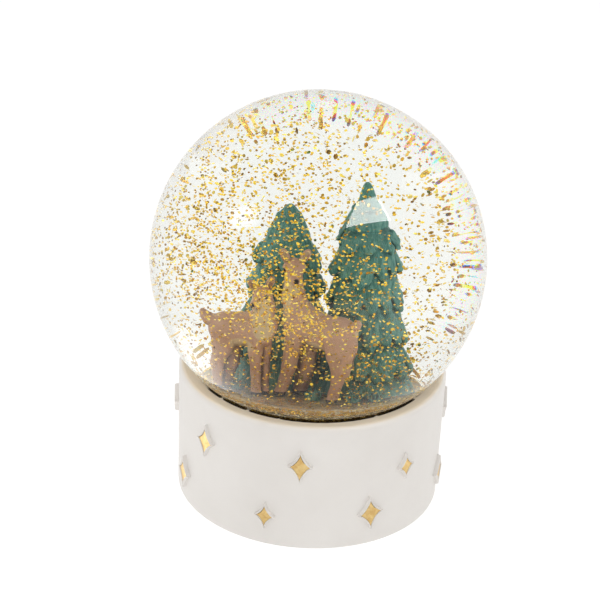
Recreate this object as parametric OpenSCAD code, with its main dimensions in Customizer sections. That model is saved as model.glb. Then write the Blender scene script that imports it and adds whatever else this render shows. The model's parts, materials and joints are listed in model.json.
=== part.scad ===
// Snow globe: a glass ball of liquid and glitter on a round drum base, with two firs and two deer inside.
// The origin is the centre of the flat underside, +Z is up, and the deer stand on the -Y side of the trees.

/* [Globe] */
// Outside radius of the glass ball
globe_r = 50; // [49.6:0.1:50.6]
// Thickness of the blown glass
glass_t = 2; // [1.6:0.1:2.2]
// Height of the ball's centre above the rim of the drum
globe_lift = 34.8; // [34.4:0.1:35.2]
// Outside radius of the neck under the ball
neck_r = 31.5; // [31.2:0.1:31.8]
// Height of the trapped air at the top of the ball
air_h = 0.1; // [0.1:0.1:2.4]

/* [Base] */
// Height of the drum
base_h = 41.4; // [40:0.2:43]
// Radius of the drum at the table
foot_r = 40; // [39.7:0.1:40.3]
// Radius of the drum just under its rim
rim_r = 40.5; // [40.3:0.1:40.9]
// Radius of the rounded rim
lip_r = 1.5; // [1.2:0.1:1.8]
// Wall thickness of the hollow drum
wall_t = 3.4; // [3:0.1:3.6]
// How far the flat top dips towards the glass
dip = 0.4; // [0.2:0.1:0.8]

/* [Stars] */
// How far a star stands out of the drum
star_h = 1.3; // [0.8:0.1:1.6]
// Width of the white edge round a star's gold face
star_edge = 0.6; // [0.5:0.1:0.9]
// How far the gold face is sunk inside its white edge
star_sink = 0.3; // [0.2:0.05:0.5]
// How far a star's sides are drawn in: 0.5 gives straight sides
star_waist = 0.38; // [0.34:0.01:0.48]

/* [Closure] */
// Thickness of the stopper's flange
flange_t = 3; // [2.5:0.1:3.2]
// Thickness of the board that closes the drum
board_t = 2; // [1.6:0.1:2.2]
// Thickness of the felt under the board
felt_t = 1.5; // [1.2:0.1:1.8]

/* [Scene] */
// Height of the ground above the centre of the ball, a negative number
ground = -30; // [-30.4:0.1:-29.6]
// Radius of the round ground that carries the figures
plinth_r = 26; // [25.6:0.1:26.4]
// Height of the tall fir above the ground
tall_h = 48; // [46:0.5:49]
// Largest radius of the tall fir
tall_r = 9.2; // [8.8:0.1:9.4]
// Height of the short fir above the ground
short_h = 41; // [39:0.5:42]
// Largest radius of the short fir
short_r = 7.2; // [6.8:0.1:7.4]

/* [Glitter] */
// Width across the corners of one flake
flake_w = 0.55; // [0.4:0.01:0.56]
// Thickness of one flake
flake_t = 0.03; // [0.02:0.005:0.03]
// Loose flakes in each band of the swirl
flakes = 84; // [24:12:120]
// Radius that keeps the swirling flakes clear of the figures
clear_r = 28; // [27.5:0.1:29]
// Height of the settled glitter below the ground
settle_dip = 1.4; // [1:0.1:2]

/* [Hidden] */

$fn = 96;
gap = 0.02;                         // clearance between bonded pieces

// Ball and neck
ball_z = base_h + globe_lift;       // centre of the ball
bore_r = globe_r - glass_t;         // inside radius of the ball
neck_bore_r = neck_r - glass_t;
neck_z = ball_z - sqrt(globe_r * globe_r - neck_r * neck_r);    // where the neck leaves the ball
neck_bore_z = ball_z - sqrt(bore_r * bore_r - neck_bore_r * neck_bore_r);
mouth_z = neck_z - 7.2;             // open end of the neck

// Drum
seat_r = globe_r + 0.3;             // hollow that cups the ball
seat_edge_r = sqrt(seat_r * seat_r - pow(ball_z - base_h + dip, 2));  // flat top meets hollow
well_r = neck_r + 1.9;              // round hole that the neck drops through
ledge_z = neck_z - 4.4;             // underside of the shelf that carries the ball
foot_bevel = 0.7;
cave_r = foot_r - wall_t;           // inside radius of the drum
board_r = cave_r + 1.2;
star_face_r = rim_r + star_h - star_sink;   // distance of the gold faces from the axis
star_root = 2;                      // depth that a star is sunk into the drum

// Closure and ground
plug_z = ball_z - 39;               // top of the stopper
flange_r = neck_r + 1.2;
bead_h = 1.6;
ground_z = ball_z + ground;
plinth_bevel_h = 1;
plinth_bevel_w = 0.7;

// Stars, each as turn about the drum, height, half width, half height, lean
STARS = [
    [-93, 28.7, 3.15, 4.6, 0], [-62, 11.4, 3.6, 4.8, 4], [-107, 10.5, 2.65, 3.6, 0],
    [-138, 28, 3.15, 4.6, -2], [-45, 24, 2.55, 3.5, 2], [-13, 11.4, 3.3, 4.5, 3],
    [-156, 10.7, 3.4, 4.7, 0], [-178, 27.8, 2.8, 3.8, 0], [161, 12, 2.6, 3.6, 3],
    [138, 28.2, 3.2, 4.6, 0], [116, 11, 3.5, 4.7, -3], [94, 25.6, 2.6, 3.6, 0],
    [70, 11.6, 3.1, 4.5, 0], [49, 28.4, 3.4, 4.7, 3], [27, 12.2, 2.6, 3.6, 0],
    [5, 28, 3.1, 4.5, -2]
];

// Four points joined by sides that are drawn in towards the middle
function star_points(half_w, half_h) = [
    for (i = [0:7])
        let (angle = i * 45, x = cos(angle), y = sin(angle))
        i % 2 == 0 ? [half_w * x, half_h * y]
                   : [half_w * star_waist * sign(x), half_h * star_waist * sign(y)]
];

// Every star as a prism facing out of the drum, starting start_r from the axis;
// grow is added to the half width and half height
module stars(start_r, depth, grow = [0, 0]) {
    for (star = STARS)
        rotate([0, 0, star[0]]) translate([start_r, 0, star[1]])
            rotate([0, 90, 0]) rotate([0, 0, 90]) rotate([0, 0, star[4]])
                linear_extrude(depth) polygon(star_points(star[2] + grow.x, star[3] + grow.y));
}

module base_drum() {
    color("white") difference() {
        union() {
            rotate_extrude() polygon([
                [0, 0], [foot_r - foot_bevel, 0], [foot_r, foot_bevel], [rim_r, base_h - lip_r],
                [rim_r - lip_r, base_h], [seat_edge_r, base_h - dip], [0, base_h - dip]
            ]);
            rotate_extrude() translate([rim_r - lip_r, base_h - lip_r]) circle(r = lip_r);
            stars(rim_r - star_root, star_h + star_root, grow = [star_edge, 1.6 * star_edge]);
        }
        stars(star_face_r, star_sink + 1);
        translate([0, 0, ball_z]) sphere(r = seat_r);
        cylinder(r = well_r, h = base_h);
        cylinder(r = cave_r, h = ledge_z);
        // Recess for the board and felt
        translate([0, 0, -1]) cylinder(r = board_r + 0.1, h = 1 + felt_t + board_t);
    }
}

module star_foils() {
    color("goldenrod") stars(star_face_r + gap, 0.1, grow = [-0.05, -0.07]);
}

module bottom_board() {
    color("tan") translate([0, 0, felt_t]) cylinder(r = board_r, h = board_t);
}

module felt_pad() {
    color("lightgray") cylinder(r = board_r - 0.6, h = felt_t);
}

// Clear bond between the ball, its neck and the drum
module globe_adhesive() {
    color("lightyellow") difference() {
        union() {
            translate([0, 0, ledge_z + 0.4]) cylinder(r = well_r - gap, h = neck_z - ledge_z + 1);
            intersection() {
                translate([0, 0, ball_z]) sphere(r = seat_r - gap);
                translate([0, 0, neck_z]) cylinder(r = seat_edge_r - 0.6, h = 4);
            }
        }
        translate([0, 0, ball_z]) sphere(r = globe_r + gap);
        cylinder(r = neck_r + gap, h = base_h);
    }
}

// Hollow ball, cut off where the open neck joins it
module glass_globe() {
    overlap = 0.2;
    color("aliceblue", 0.3) difference() {
        union() {
            intersection() {
                translate([0, 0, ball_z]) sphere(r = globe_r);
                translate([0, 0, neck_z]) cylinder(r = globe_r + 1, h = 2 * globe_r);
            }
            translate([0, 0, mouth_z]) cylinder(r = neck_r, h = neck_z - mouth_z + overlap);
        }
        translate([0, 0, ball_z]) sphere(r = bore_r);
        translate([0, 0, mouth_z - 1])
            cylinder(r = neck_bore_r, h = neck_bore_z - mouth_z + 1 + overlap);
    }
}

// Plug that closes the neck, with a flange that stops at the glass
module rubber_stopper() {
    color("dimgray") {
        translate([0, 0, mouth_z]) cylinder(r = neck_bore_r - gap, h = plug_z - mouth_z);
        translate([0, 0, mouth_z - flange_t - gap]) cylinder(r = flange_r, h = flange_t);
        // Core that joins the plug and the flange across the gap
        translate([0, 0, mouth_z - 0.5]) cylinder(r = neck_bore_r - 1.5, h = 1);
    }
}

// Bead of sealant in the corner between the flange and the outside of the neck
module stopper_sealant() {
    color("whitesmoke") rotate_extrude() polygon([
        [neck_r + gap, mouth_z + gap], [flange_r, mouth_z + gap], [neck_r + gap, mouth_z + bead_h]
    ]);
}

// Round ground with a bevelled top edge
module scene_plinth() {
    side_h = ground_z - plug_z - plinth_bevel_h - gap;
    color("wheat") translate([0, 0, plug_z + gap]) {
        cylinder(r = plinth_r, h = side_h);
        translate([0, 0, side_h])
            cylinder(r1 = plinth_r, r2 = plinth_r - plinth_bevel_w, h = plinth_bevel_h);
    }
}

// Stands its child on the ground at [x, y]
module on_ground(place) {
    translate([place[0], place[1], ground_z + gap]) children();
}

// A fir as a stack of tiers, each a short flaring skirt under a cone
module fir(height, radius, tiers) {
    trunk_h = height * 0.94;
    tip_r = 0.5;
    for (i = [0:tiers - 1]) {
        lowest = i == 0;
        top = i == tiers - 1;
        tier_z = trunk_h * (1 - pow((tiers - i) / tiers, 0.86));
        tier_top = min(height, tier_z + height * (top ? 0.4 : 0.3));
        tier_r = radius * (0.22 + 0.78 * (tiers - i - 0.1) / tiers);
        translate([0, 0, lowest ? 0 : tier_z - 1])
            cylinder(r1 = tier_r * (lowest ? 0.97 : 0.86), r2 = tier_r,
                     h = lowest ? height * 0.1 : 1.4);
        translate([0, 0, lowest ? height * 0.1 : tier_z + 0.4])
            cylinder(r1 = tier_r, r2 = top ? tip_r : tier_r * 0.3, h = tier_top - tier_z);
    }
    // Slim cone that fills the upper part up to the tip
    translate([0, 0, height * 0.6]) cylinder(r1 = radius * 0.36, r2 = tip_r, h = height * 0.4);
}

module tall_tree() {
    color("cadetblue") on_ground([10.2, 3.4]) fir(tall_h, tall_r, tiers = 7);
}

module short_tree() {
    color("cadetblue") on_ground([-7.2, 6]) fir(short_h, short_r, tiers = 6);
}

// A straight limb between two points, round at both ends
module limb(start, end, start_r, end_r) {
    hull() {
        translate(start) sphere(r = start_r, $fn = 18);
        translate(end) sphere(r = end_r, $fn = 18);
    }
}

module hoof(x, y, foot_r) {
    translate([x, y, 0]) cylinder(r1 = foot_r, r2 = 0.9, h = 1, $fn = 20);
}

// One standing deer: the body runs from the chest at x = 0 along +X, and the head turns about the neck
module deer(body_len, belly_z, back_z, neck_h, head_turn) {
    body_z = (belly_z + back_z) / 2;
    body_r = (back_z - belly_z) / 2;
    neck_x = -1.4;
    rump_x = body_len * 0.82;
    hock_x = body_len * 0.98;

    // Body and neck
    limb([0, 0, body_z], [rump_x, 0, body_z + 0.3], body_r, body_r * 0.98);
    limb([0, 0, body_z + 0.6], [neck_x, 0, back_z + neck_h * 0.62], body_r * 0.7, 1.9);

    // Head, with a pair of tapered points on top
    translate([neck_x, 0, back_z + neck_h * 0.72]) rotate([0, 0, head_turn]) {
        limb([0.6, 0, 0.7], [-1.9, 0, -0.2], 2.35, 1.45);
        for (side = [-1, 1])
            limb([0.5, side * 1.5, 2.2], [1.1, side * 3, neck_h * 0.14 + 2.2], 0.85, 0.35);
    }

    // Front leg, then hind thigh and shank, on each side
    for (side = [-1, 1]) {
        leg_y = side * body_r * 0.5;
        hock = [hock_x, leg_y, belly_z * 0.5];
        limb([-0.3, side * body_r * 0.52, body_z - 1], [-1.1, leg_y, 0.9], 1.45, 0.85);
        hoof(-1.2, leg_y, 1.15);
        limb([body_len * 0.86, leg_y, body_z - 0.4], hock, body_r * 0.52, 0.95);
        limb(hock, [body_len * 0.84, leg_y, 0.9], 0.95, 0.8);
        hoof(rump_x, leg_y, 1.2);
    }

    // Tail
    limb([hock_x, 0, back_z - 1.8], [body_len * 1.16, 0, back_z - 0.6], 1, 0.7);
}

module deer_right() {
    color("rosybrown") on_ground([-4.2, -4]) rotate([0, 0, -29])
        deer(body_len = 13.6, belly_z = 11.6, back_z = 20.2, neck_h = 13.2, head_turn = 119);
}

module deer_left() {
    color("rosybrown") on_ground([-13, -5.5]) rotate([0, 0, 160])
        deer(body_len = 8.8, belly_z = 10.6, back_z = 18.4, neck_h = 8.3, head_turn = 258);
}

// Low tufts of foliage round the figures, each as x, y, largest radius, height
TUFTS = [
    [0.4, -8.4, 2.2, 2.4], [9.4, -9.6, 2.3, 2.8], [14.2, -8.8, 2.4, 2.6],
    [-15.6, -1.8, 1.9, 2.2], [-1.6, 16.6, 2.6, 2.4]
];

module ground_tufts() {
    color("darkseagreen") for (tuft = TUFTS) on_ground(tuft) {
        radius = tuft[2];
        height = tuft[3];
        cylinder(r1 = radius * 0.8, r2 = radius, h = height * 0.3);
        translate([0, 0, height * 0.3]) cylinder(r1 = radius, r2 = radius * 0.35, h = height * 0.7);
    }
}

// The space inside the glass, filled from the stopper up to a depth;
// overlap is how far the neck part runs up into the ball
module inside_glass(clearance, overlap, depth) {
    intersection() {
        union() {
            translate([0, 0, ball_z]) sphere(r = bore_r - clearance);
            translate([0, 0, plug_z])
                cylinder(r = neck_bore_r - clearance, h = neck_bore_z - plug_z + overlap);
        }
        translate([0, 0, plug_z + gap]) cylinder(r = globe_r, h = depth);
    }
}

// Glitter that has sunk into the channel between the ground and the glass
module settled_glitter() {
    color("goldenrod") difference() {
        inside_glass(clearance = 0.05, overlap = 1, depth = ground_z - settle_dip - plug_z - gap);
        cylinder(r = plinth_r + gap, h = ground_z);
    }
}

module liquid_fill() {
    color("lightcyan", 0.2)
        inside_glass(clearance = gap, overlap = 0.4, depth = ball_z + bore_r - air_h - plug_z);
}

golden_angle = 137.50776;
golden_part = 0.6180339887;
flake_max_r = bore_r - 1.4;         // keeps the flakes inside the glass

// Flakes spread by the golden angle between two radii and two heights above the ball's centre
module band(inner_r, outer_r, low, high, turn) {
    for (i = [0:flakes - 1]) {
        step = i * golden_part + 0.13;
        z = low + (high - low) * (step - floor(step));
        limit_r = min(outer_r, sqrt(flake_max_r * flake_max_r - z * z));
        r = sqrt(inner_r * inner_r + (limit_r * limit_r - inner_r * inner_r) * ((i + 0.5) / flakes));
        rotate([0, 0, turn + i * golden_angle]) translate([r, 0, ball_z + z])
            cylinder(r = flake_w / 2, h = flake_t, $fn = 6);
    }
}

tree_top = ground + tall_h;         // above the ball's centre

module glitter_upper() {
    color("gold") band(1.5, bore_r, low = tree_top + 3, high = bore_r - air_h - 3, turn = 0);
}

module glitter_middle() {
    color("gold") band(clear_r, bore_r, low = -4, high = tree_top + 2, turn = 40);
}

module glitter_lower() {
    color("gold") band(clear_r, bore_r, low = ground + 1.5, high = -5, turn = 80);
}

module glitter_falling() {
    color("gold") band(clear_r, clear_r + 7, low = -8, high = tree_top - 1, turn = 115);
}

base_drum();
star_foils();
bottom_board();
felt_pad();
globe_adhesive();
glass_globe();
rubber_stopper();
stopper_sealant();
scene_plinth();
tall_tree();
short_tree();
deer_right();
deer_left();
ground_tufts();
settled_glitter();
liquid_fill();
glitter_upper();
glitter_middle();
glitter_lower();
glitter_falling();
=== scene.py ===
# A liquid-filled glitter globe: a glass ball with two firs and two deer inside, on a white cast
# drum with gold stars. It stands upright at z = 0 with its axis on z and its front towards -y.
# Lengths are millimetres until a mesh is made. The figures and flakes are laid out about the
# ball's centre, and everything else from the foot of the drum.
import json
import math
import bpy
import numpy as np
from mathutils import Matrix, Vector

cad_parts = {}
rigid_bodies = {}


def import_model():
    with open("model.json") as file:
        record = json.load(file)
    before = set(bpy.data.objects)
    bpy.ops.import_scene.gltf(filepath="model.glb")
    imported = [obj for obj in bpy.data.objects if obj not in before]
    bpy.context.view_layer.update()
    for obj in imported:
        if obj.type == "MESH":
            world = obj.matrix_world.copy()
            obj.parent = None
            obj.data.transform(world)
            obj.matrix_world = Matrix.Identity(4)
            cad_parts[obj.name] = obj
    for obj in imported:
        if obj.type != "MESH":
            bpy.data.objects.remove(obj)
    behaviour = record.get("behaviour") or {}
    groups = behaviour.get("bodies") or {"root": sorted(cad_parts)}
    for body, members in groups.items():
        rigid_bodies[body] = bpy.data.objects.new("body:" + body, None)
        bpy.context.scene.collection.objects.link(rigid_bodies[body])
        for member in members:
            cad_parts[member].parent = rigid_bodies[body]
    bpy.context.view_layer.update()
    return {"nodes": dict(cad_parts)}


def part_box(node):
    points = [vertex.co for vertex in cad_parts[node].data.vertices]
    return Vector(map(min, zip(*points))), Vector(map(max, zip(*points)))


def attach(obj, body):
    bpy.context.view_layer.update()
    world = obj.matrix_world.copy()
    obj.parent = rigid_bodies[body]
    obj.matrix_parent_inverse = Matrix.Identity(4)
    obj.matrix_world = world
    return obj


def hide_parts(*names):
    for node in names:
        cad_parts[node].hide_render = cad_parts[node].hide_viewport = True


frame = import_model()
MM = 0.001
TURN = 2 * math.pi


# ---------------------------------------------------------------- dimensions
def box_mm(node):
    low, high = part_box(node)
    return np.array(low) * 1000, np.array(high) * 1000


def fill_level():
    """Height of the liquid's surface."""
    return box_mm("liquid_fill")[1][2]


glass_low, glass_high = box_mm("glass_globe")
board_low, board_high = box_mm("bottom_board")
felt_high = box_mm("felt_pad")[1]
plinth_high = box_mm("scene_plinth")[1]

BALL_R = round((glass_high[0] - glass_low[0]) / 2, 1)
BALL_Z = glass_high[2] - BALL_R            # centre of the ball
INNER_R = box_mm("liquid_fill")[1][0] + 0.02
MOUTH_Z = glass_low[2]                     # open end of the neck
NECK_R = 31.5
NECK_INNER_R = NECK_R - (BALL_R - INNER_R)
NECK_TOP_Z = BALL_Z - math.sqrt(INNER_R ** 2 - NECK_INNER_R ** 2)   # inside the glass

PLINTH_R = plinth_high[0]
GROUND_Z = plinth_high[2]
GROUND = GROUND_Z - BALL_Z                 # ground about the ball's centre
FIGURE_FLOOR = GROUND + 0.02               # flat underside of the figures
STOPPER_TOP = box_mm("rubber_stopper")[1][2]
SETTLED_Z = box_mm("settled_glitter")[1][2]
BOARD_R = board_high[0]
BOARD_T = board_high[2] - board_low[2]
FELT_R, FELT_T = felt_high[0], felt_high[2]

BASE_H = box_mm("base_drum")[1][2]
FOOT_R, RIM_R = 40.0, 40.5                 # drum at its foot and at its rim
RIM_ROUND = 1.5                            # radius of the rim's rounding
SEAT_DIP = 0.4                             # seat's edge below the drum's top
SEAT_R = BALL_R + 0.3                      # spherical seat under the ball
SEAT_EDGE = math.sqrt(SEAT_R ** 2 - (BALL_Z - BASE_H + SEAT_DIP) ** 2)
WELL_R = NECK_R + 1.9                      # well round the neck
LEDGE_Z = BALL_Z - math.sqrt(BALL_R * BALL_R - NECK_R ** 2) - 4.4
CAVE_R = FOOT_R - 3.4                      # hollow under the ledge

# The camera looks at the ball's centre from the front and above.
ELEVATION = math.radians(25.68)
ROLL = math.radians(2.92)
CAMERA_DISTANCE = 651.59 * MM


# ---------------------------------------------------------------- numeric helpers
CORNERS = [(i, j, k) for i in (0, 1) for j in (0, 1) for k in (0, 1)]


def ease(start, end, x):
    """Smooth step from 0 at start to 1 at end."""
    t = np.clip((x - start) / (end - start), 0, 1)
    return t * t * (3 - 2 * t)


def axis_dist(pts):
    return np.hypot(pts[:, 0], pts[:, 1])


def corner_weights(frac):
    """Each corner of a unit cell, with its trilinear weight at frac (n, 3)."""
    for corner in CORNERS:
        wx, wy, wz = (frac[:, k] if corner[k] else 1 - frac[:, k] for k in range(3))
        yield corner, wx * wy * wz


def lattice_value(cell, seed):
    """Repeatable random value from 0 to 1 for whole-number cells (n, 3)."""
    ix, iy, iz = cell.T
    mask = 0xFFFFFFFF
    bits = (ix * 374761393 + iy * 668265263 + iz * 2147483647 + seed * 1274126177) & mask
    bits = ((bits ^ (bits >> 13)) * 1274126177) & mask
    return ((bits ^ (bits >> 16)) & mask) / 4294967295.0


def value_noise(pts, seed):
    """Value noise from -1 to 1 at points (n, 3)."""
    cell = np.floor(pts)
    frac = pts - cell
    cell = cell.astype(np.int64)
    out = np.zeros(len(pts))
    for corner, weight in corner_weights(frac * frac * (3 - 2 * frac)):
        out += weight * lattice_value(cell + corner, seed)
    return out * 2 - 1


def fractal(pts, octaves, seed):
    """Layered value noise, each layer finer and half as strong as the last."""
    out, strength, total = np.zeros(len(pts)), 1.0, 0.0
    for k in range(octaves):
        out += strength * value_noise(pts * (2.03 ** k) + k * 17.3, seed + k)
        total += strength
        strength *= 0.5
    return out / total


# ---------------------------------------------------------------- mesh helpers
def add_object(name, data):
    made = bpy.data.objects.new(name, data)
    bpy.context.scene.collection.objects.link(made)
    return made


def make(name, verts, faces, mats, slot, replaces=None, body="globe",
         face_mat=None, smooth=True, attrs=None):
    """Builds a piece. faces holds one index array (m, k) for each polygon size or patch."""
    mesh = bpy.data.meshes.new(name)
    coords = (np.asarray(verts, float) * MM).astype(np.float32)
    mesh.vertices.add(len(coords))
    mesh.vertices.foreach_set("co", coords.ravel())
    faces = [np.asarray(patch, np.int32) for patch in faces]
    sizes = np.concatenate([np.full(len(patch), patch.shape[1], np.int32) for patch in faces])
    loops = np.concatenate([patch.ravel() for patch in faces])
    starts = np.concatenate([[0], np.cumsum(sizes)[:-1]]).astype(np.int32)
    mesh.loops.add(len(loops))
    mesh.loops.foreach_set("vertex_index", loops)
    mesh.polygons.add(len(sizes))
    mesh.polygons.foreach_set("loop_start", starts)
    mesh.polygons.foreach_set("use_smooth", np.full(len(sizes), smooth))
    if face_mat is not None:
        mesh.polygons.foreach_set("material_index", np.asarray(face_mat, np.int32))
    mesh.update(calc_edges=True)
    mesh.validate()
    for key, values in (attrs or {}).items():
        values = np.asarray(values, np.float32)
        if values.ndim == 1:
            layer = mesh.attributes.new(key, "FLOAT", "POINT")
            layer.data.foreach_set("value", values)
        else:
            layer = mesh.attributes.new(key, "FLOAT_COLOR", "POINT")
            rgba = np.ones((len(coords), 4), np.float32)
            rgba[:, :3] = values
            layer.data.foreach_set("color", rgba.ravel())
    for mat in mats if isinstance(mats, list) else [mats]:
        mesh.materials.append(mat)
    piece = add_object(name, mesh)
    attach(piece, body)
    if replaces:
        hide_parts(replaces)


def ring_quads(rows, n, wrap_rows=False, flip=False):
    """Quads of a grid of rows rings of n points, closed round each ring."""
    i = np.arange(rows if wrap_rows else rows - 1)[:, None]
    j = np.arange(n)[None, :]
    after, above = (j + 1) % n, (i + 1) % rows
    ring = [i * n + j, i * n + after, above * n + after, above * n + j]
    quads = np.stack(ring, -1).reshape(-1, 4)
    return quads[:, ::-1] if flip else quads


def fan(start, n, apex, flip=False):
    """Triangles from the ring of n points at index start to the point apex."""
    j = np.arange(n)
    near, far = start + j, start + (j + 1) % n
    if flip:
        near, far = far, near
    return np.stack([near, far, np.full(n, apex)], -1)


def solid(verts, n, z_first, z_last, flip=False):
    """Closes a stack of rings with a centre point at each end. Returns verts and faces."""
    count = len(verts)
    verts = np.concatenate([verts, [[0, 0, z_first]], [[0, 0, z_last]]])
    return verts, [ring_quads(count // n, n, flip=flip),
                   fan(0, n, count, flip=not flip),
                   fan(count - n, n, count + 1, flip=flip)]


def join(parts):
    """One mesh from parts (verts, faces, ...); the nth faces of all parts are put together."""
    shifts = np.cumsum([0] + [len(part[0]) for part in parts[:-1]])
    faces = [np.concatenate([part[k] + shift for part, shift in zip(parts, shifts)])
             for k in range(1, len(parts[0]))]
    return np.concatenate([part[0] for part in parts]), faces


def lathe(profile, n):
    """Rings of n points from a profile [(radius, z), ...] turned about the vertical axis."""
    rad, height = np.asarray(profile, float).T[:, :, None]
    ang = np.arange(n) * 2 * math.pi / n
    flat = [rad * np.cos(ang), rad * np.sin(ang), np.repeat(height, n, 1)]
    return np.stack(flat, -1).reshape(-1, 3)


def arc(centre_r, centre_z, radius, start, end, n):
    """Profile points on an arc between two angles in degrees."""
    return [(centre_r + radius * math.cos(math.radians(deg)),
             centre_z + radius * math.sin(math.radians(deg))) for deg in np.linspace(start, end, n)]


def line(start, end, n):
    """n profile points from start towards end, without end itself."""
    return [(start[0] + (end[0] - start[0]) * t, start[1] + (end[1] - start[1]) * t)
            for t in np.linspace(0, 1, n, endpoint=False)]


# ---------------------------------------------------------------- shader helpers
class Nodes:
    """The node tree of a material, world or lamp. It is emptied when an output is named.

    Any input may be given as a number, a colour or vector, or another node's output.
    """

    def __init__(self, owner, output=None):
        owner.use_nodes = True
        self.owner, self.tree = owner, owner.node_tree
        if output:
            self.tree.nodes.clear()
            self.out = self.node(output)

    def put(self, socket, value):
        if isinstance(value, bpy.types.NodeSocket):
            self.tree.links.new(value, socket)
        elif socket.type != "RGBA":
            socket.default_value = value
        elif isinstance(value, (tuple, list)):
            socket.default_value = (*value, 1)
        else:
            socket.default_value = (value, value, value, 1)

    def node(self, kind, inputs=None, **settings):
        made = self.tree.nodes.new("ShaderNode" + kind)
        for key, value in settings.items():
            setattr(made, key, value)
        for key, value in (inputs or {}).items():
            self.put(made.inputs[key], value)
        return made

    def get(self, kind, inputs=None, output=0, **settings):
        """Adds a node and returns one of its outputs."""
        return self.node(kind, inputs, **settings).outputs[output]

    def surface(self, shader):
        self.put(self.out.inputs["Surface"], shader)
        return self.owner

    def principled(self, **inputs):
        """Finishes the material. Underscores in the names stand for spaces."""
        inputs = {key.replace("_", " "): value for key, value in inputs.items()}
        return self.surface(self.get("BsdfPrincipled", inputs, "BSDF"))

    def math(self, operation, first, second):
        return self.get("Math", {0: first, 1: second}, operation=operation)

    def times(self, first, second):
        return self.math("MULTIPLY", first, second)

    def plus(self, first, second):
        return self.math("ADD", first, second)

    def minus(self, first, second):
        return self.math("SUBTRACT", first, second)

    def linear(self, value, gain, base):
        return self.plus(self.times(value, gain), base)

    def around(self, value, gain):
        """value's distance from one half, times gain."""
        return self.times(self.minus(value, 0.5), gain)

    def vector(self, operation, first, second=None, scale=None):
        inputs = {0: first}
        if second is not None:
            inputs[1] = second
        if scale is not None:
            inputs["Scale"] = scale
        number = operation in ("LENGTH", "DISTANCE", "DOT_PRODUCT")
        return self.get("VectorMath", inputs, "Value" if number else 0, operation=operation)

    def coords(self):
        """Object coordinates in millimetres."""
        return self.vector("SCALE", self.get("TexCoord", output="Object"), scale=1000.0)

    def xyz(self, value):
        return self.node("SeparateXYZ", {0: value}).outputs

    def rgb(self, value):
        return self.node("SeparateColor", {0: value}).outputs

    def attr(self, name, output="Fac"):
        return self.get("Attribute", output=output, attribute_name=name)

    def noise(self, vector, scale, detail=3.0, rough=0.55, distortion=0.0):
        inputs = {"Scale": scale, "Detail": detail, "Roughness": rough,
                  "Distortion": distortion, "Vector": vector}
        return self.get("TexNoise", inputs, "Fac")

    def cells(self, vector, scale, output, **settings):
        return self.get("TexVoronoi", {"Scale": scale, "Vector": vector}, output, **settings)

    def ramp(self, value, stops, interpolation="LINEAR"):
        """Colour ramp of stops (position, grey or colour)."""
        made = self.node("ValToRGB", {"Fac": value})
        made.color_ramp.interpolation = interpolation
        elements = made.color_ramp.elements
        while len(elements) < len(stops):
            elements.new(0.5)
        for element, (position, colour) in zip(elements, stops):
            element.position = position
            rgb = colour if isinstance(colour, tuple) else (colour,) * 3
            element.color = (*rgb, 1)
        return made.outputs["Color"]

    def fade(self, value, at, to=(0.0, 1.0)):
        """Grey that runs between the two levels in to, over the range at."""
        return self.ramp(value, list(zip(at, to)))

    def mix(self, amount, under, over):
        return self.get("Mix", {0: amount, 6: under, 7: over}, 2,
                        data_type="RGBA", blend_type="MIX")

    def mix_shader(self, amount, first, second):
        return self.get("MixShader", {0: amount, 1: first, 2: second})

    def bump(self, height, strength, depth, normal=None):
        """Bump of a depth in millimetres, over another normal where one is given."""
        inputs = {"Strength": strength, "Distance": depth * MM, "Height": height}
        if normal is not None:
            inputs["Normal"] = normal
        return self.get("Bump", inputs, "Normal")


def new_mat(name):
    return Nodes(bpy.data.materials.new(name), "OutputMaterial")


# ---------------------------------------------------------------- materials
def cast_resin(name, seat=False):
    """Matt off-white resin, clouded and pitted. With seat, a beige painted shade of the ball and a
    painted shadow in the gap where marked.
    """
    mat = new_mat(name)
    spot = mat.coords()
    cloud = mat.noise(spot, scale=0.05, detail=4, rough=0.6)
    fine = mat.noise(spot, scale=1.6, rough=0.6)
    base = mat.mix(mat.fade(cloud, at=(0.3, 0.7)),
                   under=(0.785, 0.752, 0.715), over=(0.825, 0.795, 0.76))
    base = mat.mix(mat.fade(fine, at=(0.62, 0.8), to=(0.0, 0.35)), base, over=(0.74, 0.70, 0.655))
    if seat:
        # painted shade of the ball on the seat's top ring, tinted beige
        blotch = mat.fade(mat.noise(spot, scale=0.12), at=(0.3, 0.7), to=(0.75, 1.0))
        ball_shade = mat.times(mat.attr("ball_shade"), blotch)
        base = mat.mix(ball_shade, base, over=(0.76, 0.665, 0.525))
        # painted shadow in the gap round the glass
        gap = mat.fade(mat.attr("gap"), at=(0.3, 0.7))
        base = mat.mix(gap, base, over=(0.022, 0.014, 0.008))
    pits = mat.fade(mat.cells(spot, scale=0.33, output="Distance"), at=(0.0, 0.055))
    normal = mat.bump(mat.mix(0.35, fine, pits), strength=0.22, depth=0.06)
    waves = mat.noise(spot, scale=0.22, detail=2)
    return mat.principled(
        Base_Color=base, Roughness=mat.linear(cloud, gain=0.18, base=0.42),
        Normal=mat.bump(waves, strength=0.25, depth=0.25, normal=normal), Specular_IOR_Level=0.42)


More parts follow.
